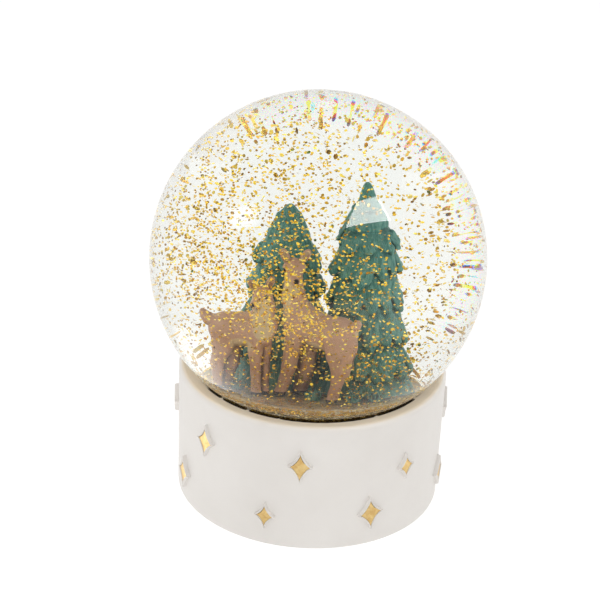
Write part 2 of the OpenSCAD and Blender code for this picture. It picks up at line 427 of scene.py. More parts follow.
def gold_leaf():
    """Crinkled gold leaf, dark in patches along its edges: partly wear, partly painted shade cast by
    the raised rim.
    """
    mat = new_mat("gold_leaf")
    spot = mat.coords()
    crinkle = mat.noise(spot, scale=0.55, detail=4, rough=0.62, distortion=0.6)
    grain = mat.noise(spot, scale=3.2, rough=0.6)
    base = mat.mix(mat.fade(crinkle, at=(0.32, 0.68)),
                   under=(0.74, 0.47, 0.165), over=(0.93, 0.71, 0.33))
    # dark edge: wear, and painted shade under the rim round the leaf
    worn = mat.times(mat.fade(mat.attr("edge"), at=(0.86, 0.97)),
                     mat.fade(grain, at=(0.36, 0.5), to=(0.25, 1.0)))
    base = mat.mix(worn, base, over=(0.09, 0.05, 0.025))
    normal = mat.bump(crinkle, strength=0.5, depth=0.12)
    return mat.principled(Base_Color=base, Metallic=0.93,
                          Roughness=mat.linear(grain, gain=0.22, base=0.26),
                          Normal=mat.bump(grain, strength=0.35, depth=0.04, normal=normal))


def clear(name, ior, tint=(1, 1, 1), spread=0.0):
    """A clear boundary that lets shadow rays pass. With spread, red and blue bend apart where
    the surface is seen at a slant and faces up or to the right."""
    mat = new_mat(name)

    def bend(index, colour):
        return mat.get("BsdfRefraction", {"IOR": index, "Roughness": 0.0, "Color": colour})

    fresnel = mat.get("Fresnel", {"IOR": ior})
    through = bend(ior, tint)
    if spread:
        bends = []
        for k in range(3):
            colour = [0, 0, 0]
            colour[k] = tint[k]
            bends.append(bend(ior + (k - 1) * spread, colour))
        parted = mat.get("AddShader", {0: bends[0], 1: bends[1]})
        parted = mat.get("AddShader", {0: parted, 1: bends[2]})
        facing = mat.get("LayerWeight", {"Blend": 0.5}, "Facing")
        slant = mat.ramp(facing, [(0.38, 0.0), (0.56, 1.0), (0.68, 1.0), (0.8, 0.0)])
        x, _, z = mat.xyz(mat.get("NewGeometry", output="Normal"))
        side = mat.math("MAXIMUM", mat.fade(z, at=(0.2, 0.5)), mat.fade(x, at=(0.4, 0.6)))
        side = mat.times(side, mat.fade(mat.plus(z, 0.5), at=(0.35, 0.55)))
        side = mat.times(side, mat.fade(mat.plus(x, 0.6), at=(0.1, 0.4)))
        through = mat.mix_shader(mat.times(slant, side), through, parted)
    mirror = mat.get("BsdfGlossy", {"Roughness": 0.0, "Color": (1, 1, 1)})
    seen = mat.mix_shader(fresnel, through, mirror)
    shadow = mat.get("LightPath", output="Is Shadow Ray")
    passed = mat.get("BsdfTransparent", {"Color": tuple(0.96 * t for t in tint)})
    return mat.surface(mat.mix_shader(shadow, seen, passed))


def unbent(name, tint):
    """A tinted boundary that doesn't bend light."""
    mat = new_mat(name)
    return mat.surface(mat.get("BsdfTransparent", {"Color": tint}))


def fir_paint():
    """Painted foliage: painted shade in the folds and undersides, combed strokes, paler on the
    ridges.
    """
    mat = new_mat("fir_green")
    spot = mat.coords()
    drawn_out = mat.vector("MULTIPLY", spot, (1, 1, 0.16))
    ridge, painted_fold_shade, _ = mat.rgb(mat.attr("paint_and_shade", "Color"))
    cloud = mat.noise(spot, scale=0.28, detail=4, rough=0.6)
    fine = mat.noise(spot, scale=2.1, rough=0.6)
    comb = mat.noise(drawn_out, scale=2.6, rough=0.65, distortion=0.35)
    base = mat.mix(mat.fade(cloud, at=(0.3, 0.7)),
                   under=(0.054, 0.218, 0.190), over=(0.086, 0.295, 0.255))
    pale = mat.fade(mat.plus(ridge, mat.around(comb, gain=1.5)), at=(0.42, 0.95), to=(0.0, 0.9))
    base = mat.mix(pale, base, over=(0.205, 0.46, 0.40))
    # painted shade: darkest where the fold channel marks closed-in, downward or grooved surface
    dark = mat.fade(mat.minus(painted_fold_shade, mat.around(comb, gain=1.1)), at=(0.26, 0.95), to=(0.0, 0.92))
    base = mat.mix(dark, base, over=(0.014, 0.055, 0.048))
    normal = mat.bump(comb, strength=0.9, depth=0.38)
    return mat.principled(
        Base_Color=base, Roughness=mat.linear(fine, gain=0.2, base=0.40),
        Normal=mat.bump(fine, strength=0.2, depth=0.1, normal=normal), Specular_IOR_Level=0.35)


def deer_paint():
    """Brown coat, cream patches, painted shade in folds, underneath and on the far legs; hooves, eyes
    and nose dark.
    """
    mat = new_mat("deer_brown")
    spot = mat.coords()
    cream, dark, painted_fold_shade = mat.rgb(mat.attr("paint_and_shade", "Color"))
    cloud = mat.noise(spot, scale=0.35, detail=4, rough=0.6)
    fine = mat.noise(spot, scale=2.6, rough=0.6)
    coat = mat.mix(mat.fade(cloud, at=(0.3, 0.7)),
                   under=(0.60, 0.345, 0.235), over=(0.72, 0.45, 0.315))
    coat = mat.mix(mat.fade(fine, at=(0.5, 0.8), to=(0.0, 0.4)), coat, over=(0.46, 0.25, 0.145))
    brushed = mat.plus(cream, mat.around(fine, gain=0.7))
    coat = mat.mix(mat.fade(brushed, at=(0.35, 0.62)), coat, over=(0.78, 0.60, 0.37))
    # painted shade in folds, underneath and on the far legs
    shade = mat.fade(painted_fold_shade, at=(0.15, 0.95), to=(0.0, 0.88))
    coat = mat.mix(shade, coat, over=(0.16, 0.075, 0.038))
    coat = mat.mix(mat.fade(dark, at=(0.4, 0.6)), coat, over=(0.035, 0.022, 0.016))
    rough = mat.mix(mat.fade(dark, at=(0.8, 0.95)), under=0.5, over=0.12)
    return mat.principled(Base_Color=coat, Roughness=rough, Specular_IOR_Level=0.35,
                          Normal=mat.bump(fine, strength=0.25, depth=0.1))


def ground_paint():
    """Sandy paint, paler at the rim, with flecks of gold."""
    mat = new_mat("ground_paint")
    spot = mat.coords()
    cloud = mat.noise(spot, scale=0.16, detail=4, rough=0.6)
    fine = mat.noise(spot, scale=1.4, rough=0.6)
    base = mat.mix(mat.fade(cloud, at=(0.38, 0.6)),
                   under=(0.19, 0.12, 0.05), over=(0.62, 0.50, 0.30))
    from_axis = mat.vector("LENGTH", mat.vector("MULTIPLY", spot, (1, 1, 0)))
    rim = mat.fade(mat.math("DIVIDE", from_axis, PLINTH_R), at=(0.8, 0.93))
    rim = mat.times(rim, mat.fade(fine, at=(0.4, 0.55), to=(0.1, 0.95)))
    base = mat.mix(rim, base, over=(0.84, 0.79, 0.66))
    pick = mat.rgb(mat.cells(spot, scale=1.25, output="Color"))[0]
    fleck = mat.math("GREATER_THAN", pick, 0.62)
    base = mat.mix(fleck, base, over=(0.72, 0.49, 0.14))
    return mat.principled(Base_Color=base, Metallic=mat.times(fleck, 0.9),
                          Roughness=mat.mix(fleck, under=0.6, over=0.28),
                          Normal=mat.bump(fine, strength=0.4, depth=0.2))


def flake_gold():
    """Glossy gold, each flake its own shade."""
    mat = new_mat("gold_glitter")
    shades = [(0.0, (0.70, 0.38, 0.02)), (0.5, (0.98, 0.66, 0.05)), (1.0, (1.0, 0.82, 0.16))]
    base = mat.ramp(mat.attr("tint"), shades)
    fine = mat.noise(mat.coords(), scale=6.0, detail=2)
    return mat.principled(Base_Color=base, Metallic=1.0,
                          Roughness=mat.linear(fine, gain=0.1, base=0.16),
                          Normal=mat.bump(fine, strength=0.15, depth=0.02))


def bed_gold():
    """A bed of flakes: each cell has its own tilt and a painted shade from near black to near white,
    standing for flakes in shadow and glinting; painted shade darkens it low down and in the seams,
    and a faint painted glow lifts it.
    """
    # near black to near white: painted shadow and glint over the flakes' gold
    shades = [(0.0, (0.035, 0.018, 0.003)), (0.33, (0.11, 0.058, 0.01)),
              (0.46, (0.30, 0.165, 0.025)), (0.59, (0.68, 0.43, 0.07)),
              (0.70, (0.95, 0.78, 0.34)), (0.79, (1.0, 0.95, 0.80))]
    cell_scale = 1.75
    mat = new_mat("sunken_glitter")
    spot = mat.vector("MULTIPLY", mat.coords(), (0.75, 0.75, 2.4))
    cell = mat.cells(spot, cell_scale, output="Color")
    patch = mat.noise(spot, scale=0.22)
    pick = mat.plus(mat.times(mat.rgb(cell)[0], 0.9), mat.times(patch, 0.22))
    pick = mat.minus(pick, 0.15)
    x, _, z = mat.xyz(mat.coords())
    # a little darker towards the right
    pick = mat.minus(pick, mat.fade(mat.times(x, 0.04), at=(0.0, 1.0), to=(0.0, 0.16)))
    # painted shade: the bed is darker low down, towards the seat
    level = mat.math("DIVIDE", mat.minus(z, BASE_H - 0.5), SETTLED_Z - BASE_H + 0.5)
    high = mat.ramp(level, [(0.0, 0.0), (0.35, 0.55), (0.8, 1.0)])
    pick = mat.plus(mat.times(pick, 0.76), mat.times(high, 0.26))
    base = mat.ramp(pick, shades, "CONSTANT")
    # painted shade in the seams between cells
    seam = mat.cells(spot, cell_scale, output="Distance", feature="DISTANCE_TO_EDGE")
    base = mat.mix(mat.fade(seam, at=(0.0, 0.09), to=(1.0, 0.0)), base, over=(0.03, 0.017, 0.006))
    tilt = mat.vector("SCALE", mat.vector("SUBTRACT", cell, (0.5, 0.5, 0.5)), scale=1.1)
    tilted = mat.vector("ADD", mat.get("NewGeometry", output="Normal"), tilt)
    # painted light: a faint glow in the bed's own colour, stronger higher up
    glow = mat.mix(mat.linear(high, gain=0.08, base=0.08), (0, 0, 0), base)
    return mat.principled(Base_Color=base, Metallic=0.35, Roughness=0.4,
                          Normal=mat.vector("NORMALIZE", tilted),
                          Emission_Color=glow, Emission_Strength=1.0)


def mottled(name, under, over, scale, rough, spec, depth=0.05, fibre=False):
    """Two-tone mottled material with a range of roughness and a bump of a depth in mm."""
    mat = new_mat(name)
    spot = mat.coords()
    cloud = mat.noise(spot, scale, detail=4, rough=0.65)
    fine = mat.noise(spot, scale * 9, rough=0.7, distortion=1.5 if fibre else 0.0)
    base = mat.mix(mat.fade(cloud, at=(0.3, 0.7)), under, over)
    base = mat.mix(mat.fade(fine, at=(0.3, 0.6), to=(0.35, 0.0)), base,
                   over=tuple(0.6 * c for c in under))
    return mat.principled(
        Base_Color=base, Roughness=mat.linear(fine, gain=rough[1] - rough[0], base=rough[0]),
        Normal=mat.bump(fine, strength=0.6, depth=depth), Specular_IOR_Level=spec)


GLASS_IOR, LIQUID_IOR = 1.5, 1.345
CAST = cast_resin("cast_white")
LEAF = gold_leaf()
FIR = fir_paint()
DEER = deer_paint()
GROUND_PAINT = ground_paint()
FLAKE = flake_gold()
BED = bed_gold()
GLASS_OUTSIDE = clear("blown_glass", GLASS_IOR, tint=(0.992, 0.995, 0.992), spread=0.005)
GLASS_TO_LIQUID = clear("glass_to_liquid", GLASS_IOR / LIQUID_IOR)
GLASS_TO_AIR = clear("glass_to_air", GLASS_IOR)
LIQUID_TOP = clear("liquid_top", LIQUID_IOR)
LIQUID_SIDE = unbent("liquid_side", tint=(0.962, 0.968, 0.955))


# ---------------------------------------------------------------- base drum
# Resin drips that bridge the gap to the glass: azimuth and width in degrees.
DRIPS = [(-136.5, 0.75), (-120.5, 0.9), (-104.0, 0.5), (-58.0, 0.6),
         (-31.0, 1.2), (20.0, 0.8), (75.0, 1.0), (140.0, 0.7)]
# Lip of the seat: distance outside the seat's edge, height from the drum's top.
SEAT_LIP = [(0.7, -0.3), (0.42, -0.29), (0.3, -0.31), (0.21, -0.36), (0.15, -0.48), (0.07, -0.7)]


def drum():
    n = 400
    inset_r, inset_z = BOARD_R + 0.1, FELT_T + BOARD_T      # recess for the board and felt

    def seat(radius):
        return BALL_Z - math.sqrt(SEAT_R ** 2 - radius * radius)

    prof = line((inset_r, 0), (FOOT_R - 1.0, 0), 4)
    prof += arc(FOOT_R - 1.0, 1.0, 1.0, -90, -1, 9)
    prof += line((FOOT_R, 1.1), (RIM_R, BASE_H - RIM_ROUND), 34)
    prof += arc(RIM_R - RIM_ROUND, BASE_H - RIM_ROUND, RIM_ROUND, 0, 82, 12)
    prof += line((RIM_R - RIM_ROUND + 0.12, BASE_H), (SEAT_EDGE + 1.1, BASE_H - SEAT_DIP * 0.8), 8)
    prof += [(SEAT_EDGE + out, BASE_H + up) for out, up in SEAT_LIP]
    prof += [(r, seat(r)) for r in np.linspace(SEAT_EDGE - 0.1, WELL_R + 0.05, 5)]
    prof += line((WELL_R, seat(WELL_R)), (WELL_R, LEDGE_Z), 4)
    prof += line((WELL_R, LEDGE_Z), (CAVE_R - 0.6, LEDGE_Z), 4)
    prof += arc(CAVE_R - 0.6, LEDGE_Z - 0.6, 0.6, 90, 0, 4)
    prof += line((CAVE_R, LEDGE_Z - 0.8), (CAVE_R, inset_z), 6)
    prof += line((CAVE_R, inset_z), (inset_r, inset_z), 2)
    prof += [(inset_r, inset_z), (inset_r, inset_z / 2)]
    verts = lathe(prof, n)

    # slight unevenness of the outer side
    rad = axis_dist(verts)
    outer = ease(CAVE_R + 2.0, CAVE_R + 3.0, rad) * ease(0.3, 2.5, verts[:, 2])
    wobble = fractal(verts / 14.0, 2, 5) * 0.07 + fractal(verts / 3.0, 2, 9) * 0.018
    verts[:, :2] *= (1 + wobble * outer / np.maximum(rad, 1))[:, None]

    azimuth = np.degrees(np.arctan2(verts[:, 1], verts[:, 0]))
    lip = ease(SEAT_EDGE + 0.75, SEAT_EDGE + 0.4, rad) * ease(SEAT_EDGE, SEAT_EDGE + 0.05, rad)
    lip = lip * ease(BASE_H - 0.9, BASE_H - 0.5, verts[:, 2])
    dripped = np.zeros(len(verts))
    for centre, width in DRIPS:
        bulge = np.exp(-((azimuth - centre) / width) ** 2)
        verts[:, :2] *= (1 - lip * bulge * 0.72 / np.maximum(rad, 1))[:, None]
        dripped = np.maximum(dripped, np.exp(-((azimuth - centre) / (width * 0.8)) ** 2))
    top = ease(BASE_H - 3, BASE_H - 1, verts[:, 2]) * (rad > SEAT_EDGE + 0.4)
    verts[:, 2] += (fractal(verts / 9.0, 2, 12) * 0.05 - 0.05) * top

    rad = axis_dist(verts)
    sideways = np.abs(verts[:, 0]) / np.maximum(rad, 1)
    # painted shade of the ball on the top ring inside the rim, tinted beige and stronger to the sides
    ball_shade = ease(40.1, 39.3, rad) * ease(BASE_H - 3.5, BASE_H - 2.2, verts[:, 2])
    ball_shade = ball_shade * (0.6 + 0.4 * sideways ** 2)
    # painted shadow in the gap between seat and glass, none at the drips
    gap = ease(SEAT_EDGE + 0.5, SEAT_EDGE + 0.34, rad)
    gap = gap * ease(BASE_H - 4.5, BASE_H - 4.0, verts[:, 2]) * (1 - dripped)
    # the painted gap shadow is darkest across the front
    gap = gap * (0.35 + 0.65 * ease(-150.5, -146, azimuth) * ease(-28, -33, azimuth))
    gap = gap * (0.8 + 0.2 * value_noise(verts / 1.1, 44))
    make("cast_drum", verts, [ring_quads(len(prof), n, wrap_rows=True)],
         cast_resin("cast_white_drum", seat=True), "cast_white", "base_drum",
         attrs={"ball_shade": ball_shade, "gap": gap})


# Stars on the drum's side: azimuth in degrees, height, half width, half height, lean in degrees.
STARS = [(-93, 28.7, 3.15, 4.6, 0), (-62, 11.4, 3.6, 4.8, 4), (-107, 10.5, 2.65, 3.6, 0),
         (-138, 28, 3.15, 4.6, -2), (-45, 24, 2.55, 3.5, 2), (-13, 11.4, 3.3, 4.5, 3),
         (-156, 10.7, 3.4, 4.7, 0), (-178, 27.8, 2.8, 3.8, 0), (161, 12, 2.6, 3.6, 3),
         (138, 28.2, 3.2, 4.6, 0), (116, 11, 3.5, 4.7, -3), (94, 25.6, 2.6, 3.6, 0),
         (70, 11.6, 3.1, 4.5, 0), (49, 28.4, 3.4, 4.7, 3), (27, 12.2, 2.6, 3.6, 0),
         (5, 28, 3.1, 4.5, -2)]
STAR_N = 96
# Rings of a star: growth of the outline, height above the drum's side, scale.
RELIEF = [(0.62, -0.9, 1), (0.62, -0.05, 1), (0.6, 0.35, 1), (0.54, 0.85, 1), (0.45, 1.16, 1),
          (0.34, 1.28, 1), (0.2, 1.3, 1), (0.09, 1.24, 1), (0.03, 1.05, 1), (0.0, 0.85, 1),
          (0.0, 0.85, 0.66), (0.0, 0.85, 0.33)]
FACE = [(0, 0.87, 1.0), (0, 0.95, 1.0), (0, 0.98, 0.93), (0, 0.99, 0.72), (0, 0.99, 0.5),
        (0, 0.99, 0.25)]
FACE_INSET = (0.06, 0.09)                  # gold face inside the relief, across and up


def star_outline(half_w, half_h, grow, k):
    """Four-pointed star with drawn-in sides. k varies its wobble."""
    ang = np.arange(STAR_N) * 2 * math.pi / STAR_N
    power = 2 / 0.72
    x = np.sign(np.cos(ang)) * np.abs(np.cos(ang)) ** power * (half_w + grow)
    y = np.sign(np.sin(ang)) * np.abs(np.sin(ang)) ** power * (half_h + 1.6 * grow)
    wobble = 1 + 0.012 * np.sin(3 * ang + k) + 0.01 * np.sin(5 * ang + 2.3 * k)
    return x * wobble, y * wobble


def wrap_star(star, flat):
    """Lays flat points (x, y, height) on the drum's side."""
    azimuth, height, _, _, lean = star
    cos, sin = math.cos(math.radians(lean)), math.sin(math.radians(lean))
    x, y, z = flat.T
    across, up = cos * x - sin * y, sin * x + cos * y
    level = height + up
    rad = FOOT_R + (RIM_R - FOOT_R) * (level - 1.0) / (BASE_H - RIM_ROUND - 1.0) + z
    ang = math.radians(azimuth) + across / (RIM_R + 0.5)
    return np.stack([rad * np.cos(ang), rad * np.sin(ang), level], -1)


def star_part(star, k, half_w, half_h, rings, centres, crinkled=False):
    """One star's verts, quads and caps. centres: heights of the top and bottom centres."""
    rows = []
    for grow, z, scale in rings:
        x, y = star_outline(half_w, half_h, grow, k)
        rows.append(np.stack([x * scale, y * scale, np.full(STAR_N, z)], -1))
    flat = np.concatenate(rows)
    count = len(flat)
    if crinkled:
        at = np.stack([flat[:, 0] / 0.9 + 31 * k, flat[:, 1] / 0.9, flat[:, 2] * 0], -1)
        flat[STAR_N:, 2] += (fractal(at, 3, 40 + k) * 0.035)[STAR_N:]
    flat = np.concatenate([flat, [[0, 0, z] for z in centres]])
    caps = [fan(count - STAR_N, STAR_N, count), fan(0, STAR_N, count + 1, flip=True)]
    return wrap_star(star, flat), ring_quads(len(rows), STAR_N), np.concatenate(caps)


def stars():
    """Raised star rims, and the thin gold face in each."""
    reliefs, leaves, edges = [], [], []
    for k, star in enumerate(STARS):
        half_w, half_h = star[2:4]
        reliefs.append(star_part(star, k, half_w, half_h, RELIEF, centres=(0.85, -0.9)))
        half_w, half_h = half_w - FACE_INSET[0], half_h - FACE_INSET[1]
        leaves.append(star_part(star, k, half_w, half_h, FACE, centres=(0.99, 0.87),
                                crinkled=True))
        x, y = star_outline(half_w, half_h, 0, k)
        # edge darkening, strongest at the upper left: wear and painted shade from the rim
        wear_and_shade = 0.55 + 0.45 * ease(-0.35, 0.35, y / half_h - 0.3 * x / half_w)
        edges += [scale * wear_and_shade for _, _, scale in FACE] + [np.zeros(2)]
    make("star_reliefs", *join(reliefs), CAST, "cast_white")
    make("gold_star_faces", *join(leaves), LEAF, "gold_foil", "star_foils",
         attrs={"edge": np.concatenate(edges)})


# ---------------------------------------------------------------- glass and liquid
def neck_angle(ball_r, neck_r):
    """Degrees below the equator at which a ball meets its neck."""
    return math.degrees(math.asin(math.sqrt(ball_r * ball_r - neck_r ** 2) / ball_r))


def glass():
    n = 288
    outer = arc(0, BALL_Z, BALL_R, 89.5, -neck_angle(BALL_R, NECK_R), 150)
    neck_top = outer[-1][1]
    outer = outer[:-1] + [(NECK_R + 0.25, neck_top + 0.15)]
    outer += line((NECK_R, neck_top - 0.4), (NECK_R, MOUTH_Z + 0.6), 6)
    lip = arc((NECK_R + NECK_INNER_R) / 2, MOUTH_Z + 0.95, 0.95, 0, -180, 9)
    inner = line((NECK_INNER_R, MOUTH_Z + 1.0), (NECK_INNER_R, NECK_TOP_Z - 0.3), 6)
    inner += arc(0, BALL_Z, INNER_R, -neck_angle(INNER_R, NECK_INNER_R), 89.5, 150)
    prof = outer + lip + inner
    verts, faces = solid(lathe(prof, n), n, BALL_Z + BALL_R, BALL_Z + INNER_R, flip=True)
    # material of each face: 0 outside, 1 against the liquid, 2 against the air above it
    heights = np.array([point[1] for point in prof])
    middle = (heights[:-1] + heights[1:]) / 2
    inside = np.arange(len(prof) - 1) >= len(outer) + len(lip) - 1
    kind = np.where(inside, np.where(middle > fill_level(), 2, 1), 0)
    face_mat = np.concatenate([np.repeat(kind, n), np.full(n, 0), np.full(n, 2)])
    make("blown_glass_ball", verts, faces, [GLASS_OUTSIDE, GLASS_TO_LIQUID, GLASS_TO_AIR],
         "blown_glass", "glass_globe", face_mat=face_mat)


def liquid():
    """Liquid just inside the glass; its surface climbs a little at the edge."""
    n = 200
    ball_r, neck_r, climb = INNER_R - 0.03, NECK_INNER_R - 0.03, 0.03
    bottom = STOPPER_TOP + 0.02
    fill = min(fill_level(), BALL_Z + ball_r - 0.12)
    edge_angle = math.degrees(math.asin((fill - BALL_Z + climb) / ball_r))
    prof = [(neck_r, bottom), (neck_r, STOPPER_TOP + 0.3)]
    prof += arc(0, BALL_Z, ball_r, -neck_angle(ball_r, neck_r), edge_angle, 120)
    side, edge_r = len(prof), prof[-1][0]
    for t in np.linspace(0.06, 1, 14):
        rad = edge_r * (1 - t * 0.45)
        prof.append((rad, fill + climb * math.exp(-(edge_r - rad) / 0.55)))
    prof += [(edge_r * 0.55 * (1 - t), fill) for t in np.linspace(0.1, 0.97, 8)]
    verts, rows = lathe(prof, n), len(prof)
    count = len(verts)
    verts = np.concatenate([verts, [[0, 0, fill]], [[0, 0, bottom]]])
    faces = [ring_quads(rows, n), fan(count - n, n, count), fan(0, n, count + 1, flip=True)]
    on_top = np.repeat((np.arange(rows - 1) >= side - 1).astype(int), n)
    make("clear_liquid_body", verts, faces, [LIQUID_SIDE, LIQUID_TOP], "clear_liquid",
         "liquid_fill", face_mat=np.concatenate([on_top, np.full(n, 1), np.full(n, 0)]))


# ---------------------------------------------------------------- distance-field sculpting
def tube_dist(pts, start, end, start_r, end_r):
    """Signed distance to a round-ended tapered tube."""
    start, end = np.asarray(start, float), np.asarray(end, float)
    along = end - start
    t = np.clip(((pts - start) @ along) / (along @ along), 0, 1)
    off_axis = np.linalg.norm(pts - start - t[..., None] * along, axis=-1)
    return off_axis - (start_r + (end_r - start_r) * t)


def ellipsoid_dist(pts, centre, radii, axes=None):
    """Approximate signed distance to an ellipsoid. The rows of axes are its own axes."""
    local = pts - np.asarray(centre, float)
    if axes is not None:
        local = local @ axes.T
    radii = np.asarray(radii, float)
    scaled = np.linalg.norm(local / radii, axis=-1)
    slope = np.linalg.norm(local / (radii * radii), axis=-1)
    return scaled * (scaled - 1) / np.maximum(slope, 1e-6)


def axes_along(z_axis, x_hint):
    """Rows are the local axes: z along z_axis, x near x_hint."""
    z = z_axis / np.linalg.norm(z_axis)
    x = x_hint - z * (x_hint @ z)
    x = x / np.linalg.norm(x)
    return np.stack([x, np.cross(z, x), z])


def soft_min(one, two, blend):
    t = np.clip(0.5 + 0.5 * (two - one) / blend, 0, 1)
    return two + (one - two) * t - blend * t * (1 - t)


def corner_views(grid):
    """For each corner of a cell, its value in every cell of the grid."""
    return {corner: grid[tuple(slice(k, size - 1 + k) for k, size in zip(corner, grid.shape))]
            for corner in CORNERS}


class Field:
    """A solid held as signed distances on a grid, built from softly blended shapes."""

    def __init__(self, low, high, step):
        self.low, self.step = np.asarray(low, float), step
        self.size = np.ceil((np.asarray(high, float) - self.low) / step).astype(int) + 1
        self.dist = np.full(self.size, 9.0, np.float32)

    def window(self, low, high):
        """Slices and grid points of the box from low to high."""
        first = np.floor((low - self.low) / self.step).astype(int)
        first = np.clip(first, 0, self.size - 1)
        end = np.clip(np.ceil((high - self.low) / self.step).astype(int) + 1, 1, self.size)
        axes = [self.low[k] + self.step * np.arange(first[k], end[k]) for k in range(3)]
        pts = np.stack(np.meshgrid(*axes, indexing="ij"), -1)
        return tuple(slice(first[k], end[k]) for k in range(3)), pts

    def add(self, shape, low, high, blend, pad=2.2):
        part, pts = self.window(np.asarray(low) - pad, np.asarray(high) + pad)
        self.dist[part] = soft_min(self.dist[part], shape(pts).astype(np.float32), blend)

    def cut(self, shape, low, high, blend, pad=0.5):
        part, pts = self.window(np.asarray(low) - pad, np.asarray(high) + pad)
        self.dist[part] = -soft_min(-self.dist[part], shape(pts).astype(np.float32), blend)

    def tube(self, stations, blend=0.5):
        """Tube through stations (x, y, z, radius)."""
        for (*start, start_r), (*end, end_r) in zip(stations, stations[1:]):
            most = max(start_r, end_r)
            self.add(lambda pts: tube_dist(pts, start, end, start_r, end_r),
                     np.minimum(start, end) - most, np.maximum(start, end) + most, blend)

    def ball(self, centre, radii, blend, axes=None):
        most = max(radii)
        self.add(lambda pts: ellipsoid_dist(pts, centre, radii, axes),
                 np.asarray(centre) - most, np.asarray(centre) + most, blend)

    def sample(self, pts):
        spot = (pts - self.low) / self.step
        cell = np.clip(np.floor(spot).astype(int), 0, self.size - 2)
        out = 0
        for corner, weight in corner_weights(np.clip(spot - cell, 0, 1)):
            out = out + weight * self.dist[tuple((cell + corner).T)]
        return out

    def normal(self, pts, reach=0.25):
        steps = np.eye(3) * reach
        slope = np.stack([self.sample(pts + way) - self.sample(pts - way) for way in steps], -1)
        return slope / np.maximum(np.linalg.norm(slope, axis=1), 1e-9)[:, None]

    def crowding(self, pts, normals, reach):
        """How closed in the surface is within reach, from 0 to 1."""
        return np.clip((reach - self.sample(pts + normals * reach)) / reach, 0, 1)

    def tidy(self):
        """Fills the few samples where the solid touches itself only at an edge or a corner."""
        dist = self.dist
        diagonal, crossing = ((0, 0), (1, 1)), ((0, 1), (1, 0))
        for _ in range(16):
            inside = dist < 0
            fixes = []
            for one, two in ((0, 1), (0, 2), (1, 2)):
                def part(shift):
                    view = [slice(None)] * 3
                    for axis, k in zip((one, two), shift):
                        view[axis] = slice(k, dist.shape[axis] - 1 + k)
                    return inside[tuple(view)]
                for full, empty in ((diagonal, crossing), (crossing, diagonal)):
                    bad = part(full[0]) & part(full[1]) & ~part(empty[0]) & ~part(empty[1])
                    ends = []
                    for shift in empty:
                        end = np.argwhere(bad)
                        end[:, one] += shift[0]
                        end[:, two] += shift[1]
                        ends.append(end)
                    nearer = dist[tuple(ends[0].T)] <= dist[tuple(ends[1].T)]
                    fixes.append(np.where(nearer[:, None], ends[0], ends[1]))
            views = corner_views(inside)
            count = sum(view.astype(np.uint8) for view in views.values())
            for corner in CORNERS[:4]:
                far = tuple(1 - k for k in corner)
                pair_empty = (count == 6) & ~views[corner] & ~views[far]
                fixes.append(np.argwhere(pair_empty) + corner)
                pair_full = (count == 2) & views[corner] & views[far]
                fixes.append(np.argwhere(pair_full) + (far[0], corner[1], corner[2]))
            fill = np.concatenate(fixes)
            if not len(fill):
                break
            dist[tuple(fill.T)] = -0.02

    def mesh(self):
        """Surface nets, flat at the figures' floor: a point in each crossed cell and a quad on
        each crossed edge."""
        below = FIGURE_FLOOR - self.low[2] - self.step * np.arange(self.size[2])
        self.dist = np.maximum(self.dist, below.astype(np.float32))
        self.tidy()
        dist = self.dist
        inside = dist < 0
        count = sum(view.astype(np.uint8) for view in corner_views(inside).values())
        active = (count > 0) & (count < 8)
        cells = np.argwhere(active)
        index = np.full(active.shape, -1, np.int64)
        index[active] = np.arange(len(cells))
        total, hits = np.zeros((len(cells), 3)), np.zeros(len(cells))
        for axis in range(3):
            along = np.eye(3, dtype=int)[axis]
            for corner in CORNERS:
                if corner[axis]:
                    continue
                near = dist[tuple((cells + corner).T)].astype(float)
                far = dist[tuple((cells + corner + along).T)].astype(float)
                crossed = (near < 0) != (far < 0)
                t = np.where(crossed, near / np.where(crossed, near - far, 1), 0)
                total[crossed] += (np.array(corner, float) + t[:, None] * along)[crossed]
                hits[crossed] += 1
        verts = self.low + self.step * (cells + total / hits[:, None])
        patches = []
        for axis, one, two in ((0, 1, 2), (1, 2, 0), (2, 0, 1)):
            view = [slice(1, -1)] * 3
            view[axis] = slice(0, -1)
            first = inside[tuple(view)]
            view[axis] = slice(1, None)
            edges = np.argwhere(first != inside[tuple(view)])
            ring = []
            for shift_one, shift_two in ((0, 0), (1, 0), (1, 1), (0, 1)):
                cell = edges.copy()
                cell[:, one] += shift_one
                cell[:, two] += shift_two
                ring.append(index[tuple(cell.T)])
            quads = np.stack(ring, -1)
            outward = ~first[tuple(edges.T)]
            quads[outward] = quads[outward][:, ::-1]
            patches.append(quads)
        quads = np.concatenate(patches)
        return verts, quads[(quads >= 0).all(1)]


# ---------------------------------------------------------------- deer
def hoof(field, x, y, radius=1.25, toe=(0, -1)):
    """A hoof on the ground, pointing along toe."""
    field.tube([(x, y, GROUND + 1.5, radius * 0.86),
                (x + 0.25 * toe[0], y + 0.25 * toe[1], GROUND + 0.55, radius * 1.02)], 0.25)


def ear(field, base, tip, width, face):
    """A flat ear, hollowed on the side towards face."""
    base, tip, face = np.asarray(base, float), np.asarray(tip, float), np.asarray(face, float)
    axes = axes_along(tip - base, np.cross(tip - base, face))
    length = np.linalg.norm(tip - base) / 2 + 0.35
    middle = (base + tip) / 2
    field.ball(middle, (width, 0.62, length), 0.45, axes)
    hollow = (width * 0.62, 0.42, length * 0.72)
    field.cut(lambda pts: ellipsoid_dist(pts, middle + face * 0.52, hollow, axes),
              np.minimum(base, tip) - width, np.maximum(base, tip) + width, 0.25)


